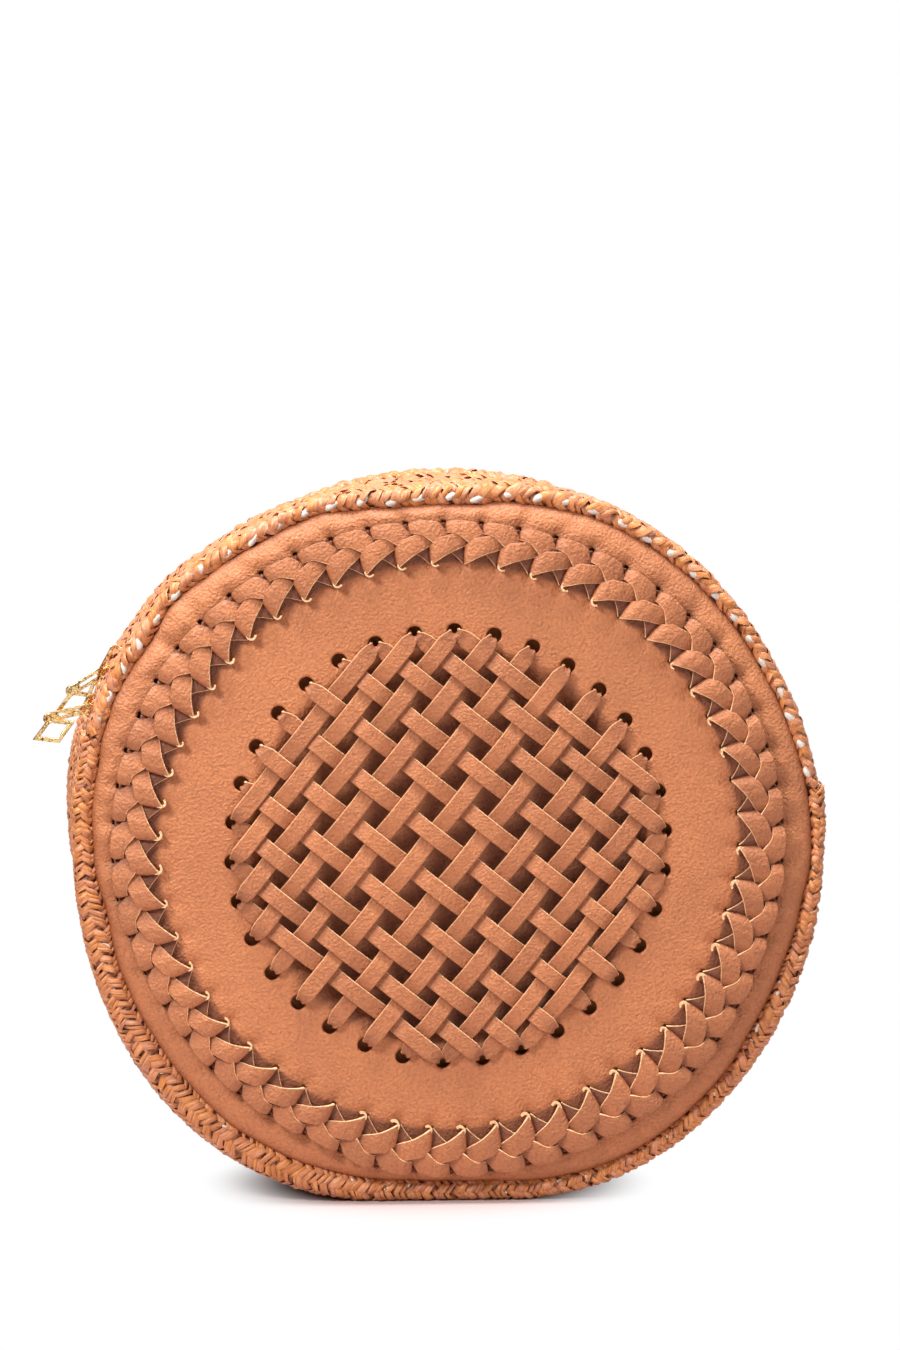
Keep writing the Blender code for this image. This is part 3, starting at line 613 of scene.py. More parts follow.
def braid_share(angle, radius):
    """The share of the way across the braided ring at which a place lies."""
    inner = braid_ring_radius(angle, 0.0)
    return (radius - inner) / (braid_ring_radius(angle, 1.0) - inner)


def to_seam(angle, radius, side):
    """How far a place on a panel lies inside its seam."""
    hub_angle, hub_radius = face_polar(angle, radius)
    return outline_radius(hub_angle, seam_inset(hub_angle, side)) - hub_radius


def leather_depth(angle, radius, sink, side=-1):
    """Depth of the leather's face: puffed up from its seam, sunk under the lattice. The angle and
    radius are about the lattice's centre."""
    hub_angle, hub_radius = face_polar(angle, radius)
    inset = outline_radius(hub_angle, 0.0) - hub_radius
    share = np.clip((inset - seam_inset(hub_angle, side)) / RIM_WIDTH, 0.0, 1.0)
    puffed = PUFF_HEIGHT * np.sqrt(1 - (1 - share) ** 3.2)
    return SEAM_DEPTH + puffed - sink * smooth_step((FIELD_RADIUS - radius) / FIELD_SLOPE)


def stitch_turns(angle):
    """Stitches clockwise from the first slot, near the top."""
    angle = angle - np.radians(around(STITCH_SHIFTS, angle))
    return (math.radians(FIRST_STITCH_DEG) - angle) / (2 * math.pi) * STITCH_COUNT


def from_slot(turns, offset):
    """Stitches from the nearest slot of a kind, from -0.5 to 0.5."""
    return (turns - offset + 0.5) % 1.0 - 0.5


def slot_dents(angle, radius):
    """How far the laces pull the leather in round their slots, and the puckers between these."""
    turns, share = stitch_turns(angle), braid_share(angle, radius)
    dents = 0.0
    for offset, wide, middle, half, deep in SLOT_DENTS:
        past_ends = np.maximum(np.abs(share - middle) - half, 0) / DENT_FADE
        dents = dents + deep * np.exp(-((from_slot(turns, offset) / wide) ** 2) - past_ends**2)
    pucker = PUCKER_HEIGHT * np.cos(2 * np.pi * turns) * np.exp(-(((share - 1.20) / 0.14) ** 2))
    fold = FOLD_HEIGHT * np.cos(2 * np.pi * (turns - INNER_SLOT))
    fold = fold * np.exp(-(((share + 0.14) / 0.16) ** 2))
    pressed = PRESSED_DEPTH * smooth_step((share - 0.70) / 0.25)
    pressed = pressed * smooth_step((1.20 - share) / DENT_FADE)
    return dents + pucker + fold + pressed


def seam_ripples(angle, radius, side):
    """Soft ripples of the leather where it was gathered into the seam, most at the upper left."""
    inset = to_seam(angle, radius, side)
    wave = np.sin(angle * 47 + 1.3 * np.sin(angle * 9)) + 0.5 * np.sin(angle * 101 + 2.0)
    more = 0.55 + 0.45 * np.cos(angle - math.radians(135))
    ripple = RIPPLE_HEIGHT * wave * more * np.exp(-(((inset - RIPPLE_INSET) / RIPPLE_REACH) ** 2))
    creases = sum(share * bump(angle, place, width) for place, width, share in CREASES)
    return ripple - CREASE_DEPTH * creases * np.exp(-(((inset - CREASE_INSET) / CREASE_REACH) ** 2))


def seam_about_face(angles, side):
    """Radius of the seam about the lattice's centre."""
    radius = outline_radius(angles, seam_inset(angles, side))
    for _ in range(12):
        radius = radius + to_seam(angles, radius, side)
    return radius


def leather_panel(label, side, cut, angle, radius, depth, deep, tuck_shade, keep):
    """One panel's leather, its edge tucked under the raffia roll, and its thickness behind."""
    face = face_place(angle, radius, side * depth)
    tuck = face_place(angle[-1], radius[-1] + TUCK_OUT, side * (SEAM_DEPTH - TUCK_BACK))
    points = np.concatenate([face, tuck[None]])
    index = np.arange(points[..., 0].size).reshape(points.shape[:2])
    right = np.roll(index, -1, axis=1)
    quads = np.stack([index[:-1], index[1:], right[1:], right[:-1]], axis=-1)
    keep = np.concatenate([keep, np.ones((1, keep.shape[1]), bool)])
    # The tucked edge under the roll is given painted shade
    deep = np.concatenate([deep, np.full((1, deep.shape[1]), tuck_shade)])
    skin = Skin()
    skin.add(points, quads[keep], [index[0]], deep=deep.reshape(-1), cut_edge=0.0)
    material = leather_material(f"tan_cowhide_{label}", cut)
    piece = skin.piece(f"{label}_leather", material, [f"{label}_panel"], "leather", outward=False)
    piece.data.materials.append(raw_edge_material())
    looks = sum((polygon.normal * polygon.area for polygon in piece.data.polygons), Vector())
    if looks.y * side < 0:
        piece.data.flip_normals()
    solid = piece.modifiers.new("thickness", "SOLIDIFY")
    solid.thickness = LEATHER_THICKNESS
    solid.offset = -1
    solid.material_offset_rim = 1
    solid.use_even_offset = False


def front_leather(settings):
    cell = 2 * math.pi / COLUMNS
    hole_cell = HOLE_CIRCLE_RADIUS * cell
    block = hole_cell * HOLE_BLOCK
    angles = math.radians(FIRST_HOLE_DEG) + cell * np.arange(COLUMNS)
    # Rings of points from the middle outwards: the sunk field, the holes, the braid and the rim
    last_fine = HOLE_CIRCLE_RADIUS - block - FINE_FIELD_GAP
    flat = [*COARSE_FIELD_RINGS, *np.linspace(FINE_FIELD_RADIUS, last_fine, 7)]
    reach = np.arange(-HOLE_BLOCK, HOLE_BLOCK + 1)
    round_hole = HOLE_CIRCLE_RADIUS + hole_cell * reach
    rings = [np.full(COLUMNS, r) for r in flat + list(round_hole)]
    inner = braid_ring_radius(angles, BRAID_MESH_SHARES[0])
    rings += [round_hole[-1] + (inner - round_hole[-1]) * t for t in np.linspace(0.0, 1.0, 10)[1:-1]]
    first_braid_ring = len(rings)
    shares = np.linspace(*BRAID_MESH_SHARES, 29)
    rings += [braid_ring_radius(angles, share) for share in shares]
    seam, last = seam_about_face(angles, -1), rings[-1]
    rings += [last + (seam - last) * t for t in (0.2, 0.4, 0.55, 0.68, 0.78, 0.86, 0.92, 0.97, 1.0)]
    radius = np.stack(rings)
    angle = np.broadcast_to(angles, radius.shape).copy()
    keep = np.ones((len(rings) - 1, COLUMNS), bool)

    # The block round each hole is square at its rim, round at the hole, and open inside it
    grid_i, grid_j = np.meshgrid(reach, reach, indexing="ij")
    open_share = HOLE_BLOCK_OPEN / HOLE_BLOCK
    blend = np.maximum(np.abs(grid_i), np.abs(grid_j)) / HOLE_BLOCK
    blend = np.clip((blend - open_share) / (1 - open_share), 0, 1)
    ring_radius = HOLE_RADIUS + (block - HOLE_RADIUS) * blend
    turn = np.arctan2(grid_i, grid_j)
    square_x, square_z = grid_j * hole_cell, grid_i * hole_cell
    shift_x = (ring_radius * np.cos(turn) - square_x) * (1 - blend)
    shift_z = (ring_radius * np.sin(turn) - square_z) * (1 - blend)
    near_hole = np.full(radius.shape, 1.0)
    open_reach = np.arange(-HOLE_BLOCK_OPEN, HOLE_BLOCK_OPEN)
    middle_row = len(flat) + HOLE_BLOCK
    for number in range(HOLE_COUNT):
        middle = number * (COLUMNS // HOLE_COUNT)
        place = np.ix_(middle_row + reach, (middle + reach) % COLUMNS)
        radius[place] += shift_z
        angle[place] += shift_x / radius[place]
        near_hole[place] = np.hypot(square_x + shift_x, square_z + shift_z) - HOLE_RADIUS
        keep[np.ix_(middle_row + open_reach, (middle + open_reach) % COLUMNS)] = False

    turns = stitch_turns(angles + cell / 2)
    middle_share = (shares[:-1] + shares[1:]) / 2
    for offset, low, high in SLOT_SPANS:
        narrow = np.abs(from_slot(turns, offset)) < 1.1 * STITCH_COUNT / COLUMNS
        rows = first_braid_ring + np.nonzero((middle_share > low) & (middle_share < high))[0]
        keep[np.ix_(rows, np.nonzero(narrow)[0])] = False

    near_seam = to_seam(angle, radius, -1)
    depth = leather_depth(angle, radius, settings.field_sink)
    depth -= slot_dents(angle, radius) - seam_ripples(angle, radius, -1)
    depth -= SEAM_TURN_DEPTH * np.exp(-near_seam / SEAM_TURN_REACH)
    into_lip = np.maximum(HOLE_LIP - near_hole, 0)
    depth -= HOLE_LIP - np.sqrt(np.clip(HOLE_LIP**2 - into_lip**2, 0, None))

    # Painted shade: on the sunk field under the lattice, darker towards the lower right, under the
    # braided laces, and a dark line along the seam under the roll
    inside = smooth_step((FIELD_RADIUS + 1 * MM - radius) / (4 * MM))
    painted_shade_to_lower_right = (np.cos(angle) - np.sin(angle)) * radius / FIELD_SHADE_REACH
    in_ring = braid_share(angle, radius)
    painted_shade_under_laces = smooth_step((in_ring + 0.02) / 0.15) * smooth_step((1.10 - in_ring) / 0.09)
    deep = (0.60 + 0.25 * painted_shade_to_lower_right) * inside + 0.85 * painted_shade_under_laces
    deep = deep + np.exp(-near_seam / SEAM_SHADE_REACH)
    leather_panel("front", -1, True, angle, radius, depth, np.clip(deep, 0, 0.95), 0.6, keep)


def back_leather(settings):
    columns = 216
    angles = 2 * math.pi * np.arange(columns) / columns
    shares = [0.15, 0.35, 0.5, 0.62, 0.72, 0.78, 0.83, 0.87]
    shares += [0.905, 0.93, 0.95, 0.967, 0.98, 0.99, 0.996, 1.0]
    radius = seam_about_face(angles, 1) * np.array(shares)[:, None]
    angle = np.broadcast_to(angles, radius.shape)
    depth = leather_depth(angle, radius, 0.0, 1) + seam_ripples(angle, radius, 1)
    deep = np.zeros(radius.shape)
    # Painted shade: the last ring at the seam and the tucked edge are darker
    deep[-1] = 0.5
    keep = np.ones((len(shares) - 1, columns), bool)
    leather_panel("back", 1, False, angle, radius, depth, deep, 0.5, keep)


# Lattice

# A strip's end stays this clear of its hole's wall
HOLE_CLEARANCE = 0.3 * MM
# The least half length of a slope between two levels, how much less than half a strip's width a
# plateau reaches from its crossing, how far a strip bows sideways, and the spacing of its points
LEAST_SLOPE = 0.0005
PLATEAU_TRIM = 0.0002
STRIP_BOW = 0.00010
STRIP_POINT_SPACING = 0.0011


def hole_place(number):
    angle = math.radians(FIRST_HOLE_DEG + (number - 1) * 360.0 / HOLE_COUNT)
    return HOLE_CIRCLE_RADIUS * np.array([math.cos(angle), math.sin(angle)])


def chord_crossings(start, end, others):
    """Distances along a strip at which others cross it, with the others' numbers."""
    along = end - start
    found = []
    for number, first, second in others:
        matrix = np.stack([along, first - second], axis=1)
        share, other_share = np.linalg.solve(matrix, first - start)
        if 0.02 < share < 0.98 and 0.02 < other_share < 0.98:
            found.append((share * np.linalg.norm(along), number))
    return sorted(found)


def strip_height(at, levels, half):
    """Height of a strip above its low level: a plateau at each crossing, an easy slope between."""
    height = np.full(len(at), levels[0][1])
    for (here, low), (there, high) in zip(levels, levels[1:]):
        middle = (here + there) / 2
        slope = max(LEAST_SLOPE, (there - here) / 2 - half)
        share = smooth_step((at - middle + slope) / (2 * slope))
        height = np.where(at > here, low + (high - low) * share, height)
    return height


def strip_end(across, height):
    """Middle lines of a strip's end, from the flat down into its hole, for each place across. The
    strip curls up to fit the hole."""
    wall = HOLE_RADIUS - HOLE_CLEARANCE - STRIP_THICKNESS / 2
    turn = across * math.radians(68)
    same = np.ones_like(across)
    flat = np.stack([STRIP_DIVE * same, across * STRIP_WIDTH / 2, height * same], 1)
    lip = np.stack([wall * np.cos(turn), wall * np.sin(turn), -0.4 * MM * same], 1)
    first = (flat - np.array([STRIP_DIVE / 2, 0, 0])) * np.array([1.0, 0.90, 1.0])
    last = lip + np.array([0, 0, 1.2 * MM])
    t = np.linspace(0, 1, 12)[1:, None, None]
    curve = (1 - t) ** 3 * flat + 3 * t * (1 - t) ** 2 * first + 3 * t**2 * (1 - t) * last + t**3 * lip
    foot = lip - np.array([0, 0, 1.6 * MM])
    return np.concatenate([curve, foot[None]])


def lattice(settings):
    material = leather_material("tan_strip_leather", cut=True)
    numbers = range(RISING_FIRST, RISING_FIRST + RISING_COUNT)
    rising = [(n, hole_place(n), hole_place(RISING_SUM - n)) for n in numbers]
    falling = [(n, hole_place(n), hole_place(FALLING_SUM - n)) for n in range(FALLING_COUNT)]
    bevel = 1 - 2 * settings.strip_bevel / STRIP_WIDTH
    across = np.array([-1.0, -bevel, -0.5, 0.0, 0.5, bevel, 1.0])
    low = PUFF_HEIGHT + SEAM_DEPTH + STRIP_MARGIN + STRIP_THICKNESS / 2
    noise = np.random.default_rng(7)
    # Each way's strips, those that they cross, which crossings they pass over, and how pale their
    # upper and lower cut edges are painted: the upper edge paler, a painted highlight of the light from
    # above
    ways = (("rising", rising, falling, 1, 0.45, 0.30), ("falling", falling, rising, 0, 0.95, 0.15))
    for label, own, others, over, upper, lower in ways:
        for count, (number, start, end) in enumerate(own):
            length = np.linalg.norm(end - start)
            along = (end - start) / length
            side = np.array([-along[1], along[0]])
            crossed = chord_crossings(start, end, others)
            levels = [(d, STRIP_STEP if (number + other) % 2 == over else 0.0) for d, other in crossed]
            points = max(8, int(length / STRIP_POINT_SPACING))
            flat = np.linspace(STRIP_DIVE, length - STRIP_DIVE, points)
            rise = strip_height(flat, levels, STRIP_WIDTH / 2 - PLATEAU_TRIM)
            bow = STRIP_BOW * np.sin(flat / length * np.pi * 2 + noise.uniform(0, 6))
            sideways = across[None] * STRIP_WIDTH / 2 + bow[:, None]
            lines = np.stack(np.broadcast_arrays(flat[:, None], sideways, rise[:, None]), axis=-1)
            first = strip_end(across, rise[0])[::-1]
            last = strip_end(across, rise[-1])
            last[:, :, 0] = length - last[:, :, 0]
            ahead, sideways, height = np.moveaxis(np.concatenate([first, lines, last]), -1, 0)
            x = start[0] + along[0] * ahead + side[0] * sideways
            z = start[1] + along[1] * ahead + side[1] * sideways
            place = np.stack([FACE_SHIFT + x, -(low + height), HUB_HEIGHT + FACE_RISE + z], axis=-1)
            # Painted shade where the strip passes under another and at its ends in the holes, over a
            # random tone of the strip
            under = np.array([d for d, level in levels if level == 0.0] + [0.0, length])
            near = np.exp(-(((ahead[..., None] - under) / STRIP_SHADE_REACH) ** 4)).max(axis=-1)
            deep = noise.uniform(0.06, 0.22) + 0.34 * near
            pale = (lower, upper) if side[1] > 0 else (upper, lower)
            skin = Skin()
            thick_ribbon(skin, place, across, STRIP_THICKNESS, settings.strip_bevel, deep, pale)
            name = f"{label}_lattice_strip_{count + 1:02d}"
            skin.piece(name, material, [f"{label}_strip_{count + 1:02d}"], "lace", 40)


# Braided ring

# The two slanting runs of one stitch: their edge lines as (stitches, share across the ring), and
# their heights above the leather as (stitches, millimetres)
INWARD_OUTER_SHARES = (
    (0.02, 0.97), (0.06, 1.03), (0.17, 1.065), (0.42, 1.075), (0.66, 1.06), (0.79, 1.035),
    (0.855, 0.98), (0.92, 0.90), (1.07, 0.79), (1.3, 0.62), (1.5, 0.44),
)
INWARD_INNER_SHARES = (
    (0.02, 0.78), (0.2, 0.775), (0.29, 0.76), (0.58, 0.578), (0.64, 0.54), (1.117, 0.31), (1.3, 0.19),
    (1.49, 0.04),
)
INWARD_RISES = (
    (0.0, -1.2), (0.05, 1.5), (0.25, 2.5), (0.55, 2.4), (0.85, 1.6), (1.1, 0.6), (1.4, 0.4), (1.5, 0.0),
    (1.54, -1.5),
)
OUTWARD_OUTER_SHARES = (
    (0.55, 0.48), (0.66, 0.58), (0.79, 0.673), (0.915, 0.70), (1.064, 0.737), (1.4, 0.83), (1.7, 0.93),
    (1.94, 1.0),
)
OUTWARD_INNER_SHARES = (
    (0.57, 0.03), (0.735, 0.12), (1.117, 0.31), (1.46, 0.436), (1.6, 0.50), (1.8, 0.60), (1.96, 0.76),
)
OUTWARD_RISES = (
    (0.55, -1.2), (0.56, 0.6), (0.60, 1.8), (0.75, 2.5), (1.05, 2.6), (1.35, 1.7), (1.6, 0.7),
    (1.85, 0.4), (1.93, 0.0), (1.97, -1.5),
)
LACE_RUNS = (
    (INWARD_OUTER_SHARES, INWARD_INNER_SHARES, INWARD_RISES),
    (OUTWARD_OUTER_SHARES, OUTWARD_INNER_SHARES, OUTWARD_RISES),
)
LACE_BEVEL = 0.00030
# How far the lace's face is crowned, and the sizes of the curls at its inner slots
LACE_CROWN = 0.00020
LACE_CURL_SIZES = (0.0011, 0.0017)


def braid_point(turns, share, rise):
    """A place in the braided ring, at a height above the leather there."""
    angle = math.radians(FIRST_STITCH_DEG) - turns * 2 * math.pi / STITCH_COUNT
    angle = angle + np.radians(around(STITCH_SHIFTS, angle))
    radius = braid_ring_radius(angle, share)
    return face_place(angle, radius, -(leather_depth(angle, radius, 0.0) + rise))


def lace_run(skin, stitch, run, thickness, tone):
    """One slanting run of the lace, ruled between its two edge lines."""
    outer_shares, inner_shares, rises = run
    outer, inner = smooth_curve(outer_shares, 34), smooth_curve(inner_shares, 34)
    across = np.array([-1.0, -0.90, -0.5, 0.0, 0.5, 0.88, 0.94, 1.0])
    share = ((across + 1) / 2)[None, :, None]
    lines = outer[:, None] * (1 - share) + inner[:, None] * share
    rise = np.interp(lines[..., 0], *np.array(rises).T) * MM
    # Painted shade: darker where the lace runs low under the others, and a dark line of shade along its
    # outer edge, over its random tone
    low = np.clip(1.15 - rise / (1.6 * MM), 0.0, 1.0)
    rise += LACE_CROWN * (1 - across**2)[None]
    grid = braid_point(stitch + lines[..., 0], lines[..., 1], rise + thickness / 2)
    deep = tone + 0.80 * low + np.where(across < -0.95, 0.5, 0.0)
    thick_ribbon(skin, grid, across, thickness, LACE_BEVEL, deep, (0.05, 0.85))


def lace_curl(skin, stitch, size):
    """The pale cut edge of the lace, curled where it comes up out of its inner slot."""
    pitch = 2 * math.pi * BRAID_INNER_RADIUS / STITCH_COUNT
    turn = np.radians(np.linspace(60, 320, 14))[:, None]
    reach = np.array([0.62, 0.62, 1.0, 1.0]) * size
    rise = np.array([0.4, 2.7, 2.7, 0.4])[None] * MM + 0 * turn
    right, out = reach * np.cos(turn) + 0.8 * size, reach * np.sin(turn) + 0.55 * size
    share = 0.02 + out / (BRAID_OUTER_RADIUS - BRAID_INNER_RADIUS)
    sections = braid_point(stitch + INNER_SLOT + 0.01 + right / pitch, share, rise)
    skin.loft(sections, cut_edge=np.array([0.0, 1.0, 1.0, 0.0]), deep=0.25)


def ring_braid(settings):
    noise = np.random.default_rng(3)
    skin = Skin()
    for stitch in range(STITCH_COUNT):
        for run, tone in zip(LACE_RUNS, noise.uniform(0.12, 0.30, 2)):
            lace_run(skin, stitch, run, settings.lace_thickness, tone)
        if noise.random() < 0.8:
            lace_curl(skin, stitch, noise.uniform(*LACE_CURL_SIZES))
    material = leather_material("tan_lace_leather", cut=True)
    skin.piece("braided_ring_lace", material, ["ring_lace"], "lace", 40)


# Plaited raffia

# The plait's middle lies this far inside the outline
PLAIT_INSET = 0.0010
# The roll in front, round to the outline, as (inset, depth)
ROLL_CORNERS = (
    (0.0047, 0.0276), (0.0046, 0.0288), (0.0039, 0.0298), (0.0027, 0.0302), (0.0016, 0.0297),
    (PLAIT_INSET, 0.0284),
)
# From the roll across the zip panel, turned in at the zip
ZIP_PANEL_CORNERS = (
    (PLAIT_INSET, 0.0265), (PLAIT_INSET, 0.0200), (PLAIT_INSET, 0.0130),
    (PLAIT_INSET, CHANNEL_HALF_WIDTH + 0.0014), (0.0016, CHANNEL_HALF_WIDTH + 0.0007),
    (0.0028, CHANNEL_HALF_WIDTH + 0.0006),
)
# How far the lower band's two ends stand out over the zip panel's
END_RISE = 0.0016
STRAND_THICKNESS = 0.00050
# How far hand-plaited strands stray from their even places, at random and in waves
STRAND_SCATTER = 0.00040
STRAND_WANDER = 0.00055
# The waves in which a strand wanders, swells and leans across the band, each as the length of one
# radian
WANDER_WAVE = 0.0027
SWELL_WAVE = 0.0011
LEAN_WAVE = 0.0024
# The slow and the quick wave in which the plait's rows stray sideways along the band: how far, and
# the length of one radian
SLOW_STRAY = 0.00055
SLOW_WAVE = 0.0052
QUICK_STRAY = 0.00035
QUICK_WAVE = 0.0023
# Length of a strand that is one unit of its fibres' pattern
STRAND_UNIT = 0.006
# How far the straw's two faces under the plait lie inside the plait's middle
CORE_FACE = 0.0003
CORE_BACK = 0.0022
# Rise of the lower band's bulge, how far it lies before the bag's middle, and its reach from there
BULGE_RISE = 0.0028
BULGE_DEPTH = 0.015
BULGE_REACH = 0.013
# White loops of thread on the zip panel's front roll: their spacing, scatter, inset, depth, half
# lengths and half width
THREAD_SPACING = 0.00885
THREAD_SCATTER = 0.0006
THREAD_INSET = 0.0034
THREAD_DEPTH = 0.0302
THREAD_HALF_LENGTHS = (0.0018, 0.0025)
THREAD_HALF_WIDTH = 0.0011
# The same of the small loops on the lower band's front roll
FINE_THREAD_SPACING = 0.0080
FINE_THREAD_SCATTER = 0.003
FINE_THREAD_INSETS = (0.0022, 0.0042)
FINE_THREAD_DEPTH = 0.0300
FINE_THREAD_HALF_LENGTHS = (0.0007, 0.0014)
FINE_THREAD_HALF_WIDTH = 0.0006


def smooth_profile(corners, count=240):
    """Points evenly spaced along a smooth profile in (inset, depth), with normals and lengths."""
    fine = smooth_curve(corners, 1200)
    steps = np.linalg.norm(np.diff(fine, axis=0), axis=1)
    length = np.concatenate([[0.0], np.cumsum(steps)])
    at = np.linspace(0, length[-1], count)
    place = np.stack([np.interp(at, length, fine[:, k]) for k in (0, 1)], axis=1)
    tangent = np.gradient(place, axis=0)
    normal = np.stack([-tangent[:, 1], tangent[:, 0]], axis=1)
    normal /= np.linalg.norm(normal, axis=1, keepdims=True)
    return at, place, normal


def widened(angle, inset, depth, lift):
    """Inset of a place on the raffia, with the roll's own width and sag at that angle, and the
    band's lift off the outline."""
    share = np.clip((inset - PLAIT_INSET) / (ROLL_WIDTH - PLAIT_INSET), 0.0, 1.0)
    wider = (roll_width(angle) - ROLL_WIDTH) * share
    return inset + wider - edge_shift(angle, depth) - lift * (1 - share)


def gusset_lift(angle, depth):
    """The lower band's two ends lie over the zip panel's, and stand out there. The band bulges at
    the lower left, behind its front roll."""
    before_end = math.radians(360.0 + JOINT_RIGHT_DEG) - angle
    end = END_RISE * np.clip(1.0 - before_end / math.radians(12.0), 0, 1)
    start = END_RISE * bump(angle, JOINT_LEFT_DEG + 4, 14)
    behind_roll = np.exp(-(((depth + BULGE_DEPTH) / BULGE_REACH) ** 2))
    return end + start + BULGE_RISE * bump(angle, BULGE_DEG, 26) * behind_roll


def no_lift(angle, depth):
    """The zip panel keeps to the outline."""
    return 0.0


def raffia_band(skin, corners, ends_deg, settings, seed, row_width, lifts):
    """A flat plait laid round the outline: strands run both ways across it, each over one row and
    under the next. corners go across the band's outer face in (inset, depth)."""
    noise = np.random.default_rng(seed)
    at, place, normal = smooth_profile(corners)
    width = at[-1]
    rows = max(2, round(width / row_width))
    row = width / rows
    angles, lengths = outline_lengths(*ends_deg)
    total = lengths[-1]
    count = int(total / (row * 1.05))
    period = total / count
    v = np.linspace(0, width, 4 * rows + 1)
    half = row * settings.strand_share / 2
    for direction, phase, start in ((1.0, 0.0, 0.0), (-1.0, 1.0, width)):
        wave = np.cos(np.pi * (v / row - 0.5 - phase))
        for strand in range(-rows - 2, count + rows + 2):
            x = strand * period + (start + direction * v) * period / row
            x = x + noise.normal(0.0, STRAND_SCATTER)
            x = x + STRAND_WANDER * np.sin(v / WANDER_WAVE + noise.uniform(0, 6))
            inside = np.nonzero((x > 0) & (x < total))[0]
            if len(inside) < 4:
                continue
            lift = settings.strand_rise * (wave * noise.uniform(0.7, 1.2) + noise.normal(0.0, 0.12))
            tone, size = noise.random(), noise.uniform(0.68, 1.25)
            size = size * (1 + 0.22 * np.sin(v / SWELL_WAVE + noise.uniform(0, 6)))
            lean = 0.45 * np.sin(v / LEAN_WAVE + noise.uniform(0, 6))
            cut = slice(inside[0], inside[-1] + 1)
            angle = np.interp(x[cut], lengths, angles)
            stray = SLOW_STRAY * np.sin(x[cut] / SLOW_WAVE + seed)
            stray = stray + QUICK_STRAY * np.sin(x[cut] / QUICK_WAVE)
            across = np.clip(v[cut] + stray * np.sin(np.pi * v[cut] / width), 0.0, width)
            pin, out = [
                np.stack([np.interp(across, at, values[:, k]) for k in (0, 1)], axis=1)
                for values in (place, normal)
            ]
            inset = widened(angle, *pin.T, lifts(angle, pin[:, 1])) + out[:, 0] * lift[cut]
            depth = pin[:, 1] + out[:, 1] * lift[cut]
            centre = polar_place(angle, outline_radius(angle, inset), depth)
            raised = outline_radius(angle, inset + out[:, 0] * MM)
            up = polar_place(angle, raised, depth + out[:, 1] * MM) - centre
            up /= np.linalg.norm(up, axis=1, keepdims=True)
            along = np.gradient(centre, axis=0)
            along /= np.linalg.norm(along, axis=1, keepdims=True)
            side = np.cross(along, up)
            turn = lean[cut, None]
            side, up = side * np.cos(turn) + up * np.sin(turn), up * np.cos(turn) - side * np.sin(turn)
            side, up = side * half * size[cut, None], up * STRAND_THICKNESS
            edges = ((-1.0, 0.0), (-0.55, 1.0), (0.55, 1.0), (1.0, 0.0), (0.0, -0.6))
            skin.loft(
                np.stack([centre + side * s + up * u for s, u in edges], axis=1),
                tone=tone,
                lift=((wave[cut] + 1) / 2)[:, None],
                across=np.array([[-1.0, -0.5, 0.5, 1.0, 0.0]]),
                length=(v[cut] / STRAND_UNIT + strand)[:, None],
            )


def band_core(skin, corners, ends_deg, lifts):
    """The straw under the visible plait: a plain strip that closes the gaps between strands."""
    _, place, normal = smooth_profile(corners, 64)
    count = max(24, int((ends_deg[1] - ends_deg[0]) / 2))
    angles = np.radians(np.linspace(*ends_deg, count))[:, None]
    extra = lifts(angles, np.concatenate([place, place[::-1]])[None, :, 1])
    both = np.concatenate([place - normal * CORE_FACE, (place - normal * CORE_BACK)[::-1]])
    inset = widened(angles, both[None, :, 0], both[None, :, 1], extra)
    sections = polar_place(angles, outline_radius(angles, inset), both[None, :, 1])
    # Lift 0 gives the core the painted shade of the gaps
    skin.loft(sections, tone=0.4, lift=0.0, across=0.0, length=0.0)


def raffia(settings):
    material = raffia_material()
    over_zip = [(inset, -depth) for inset, depth in ROLL_CORNERS + ZIP_PANEL_CORNERS]
    behind_zip = [(inset, -depth) for inset, depth in over_zip[::-1]]
    flat = [(PLAIT_INSET, depth) for depth in np.linspace(-0.0260, 0.0260, 9)]
    below = over_zip[: len(ROLL_CORNERS)] + flat + list(ROLL_CORNERS[::-1])
    wide, fine = settings.row_width, settings.fine_row_width
    bands = (
        ("zip_panel_raffia_front", "zip_strip_front", over_zip, ZIP_ENDS_DEG, 10, wide, no_lift),
        ("zip_panel_raffia_back", "zip_strip_back", behind_zip, ZIP_ENDS_DEG, 12, wide, no_lift),
        ("lower_gusset_raffia", "lower_gusset", below, LOWER_ENDS_DEG, 5, fine, gusset_lift),
    )
    for name, node, corners, ends_deg, seed, row_width, lifts in bands:
        skin = Skin()
        band_core(skin, corners, ends_deg, lifts)
        raffia_band(skin, corners, ends_deg, settings, seed, row_width, lifts)
        skin.piece(name, material, [node], "raffia", 60)


def thread_bead(skin, angle, inset, depth, half_length, half_width, turn):
    """A short visible loop of sewing thread, an oval lying on the roll's face."""
    along = np.linspace(-1.0, 1.0, 9)[:, None]
    around_it = np.linspace(0, 2 * math.pi, 9)[None, :-1]
    swell = np.sqrt(np.maximum(1.0 - along**2, 0.02)) * half_width
    x, z = along * half_length + 0 * around_it, swell * np.cos(around_it)
    x, z = x * math.cos(turn) - z * math.sin(turn), x * math.sin(turn) + z * math.cos(turn)
    radius = float(outline_radius(angle, widened(angle, inset, -depth, gusset_lift(angle, -depth))))
    skin.loft(polar_place(angle + x / radius, radius + z, -depth - 0.75 * swell * np.sin(around_it)))


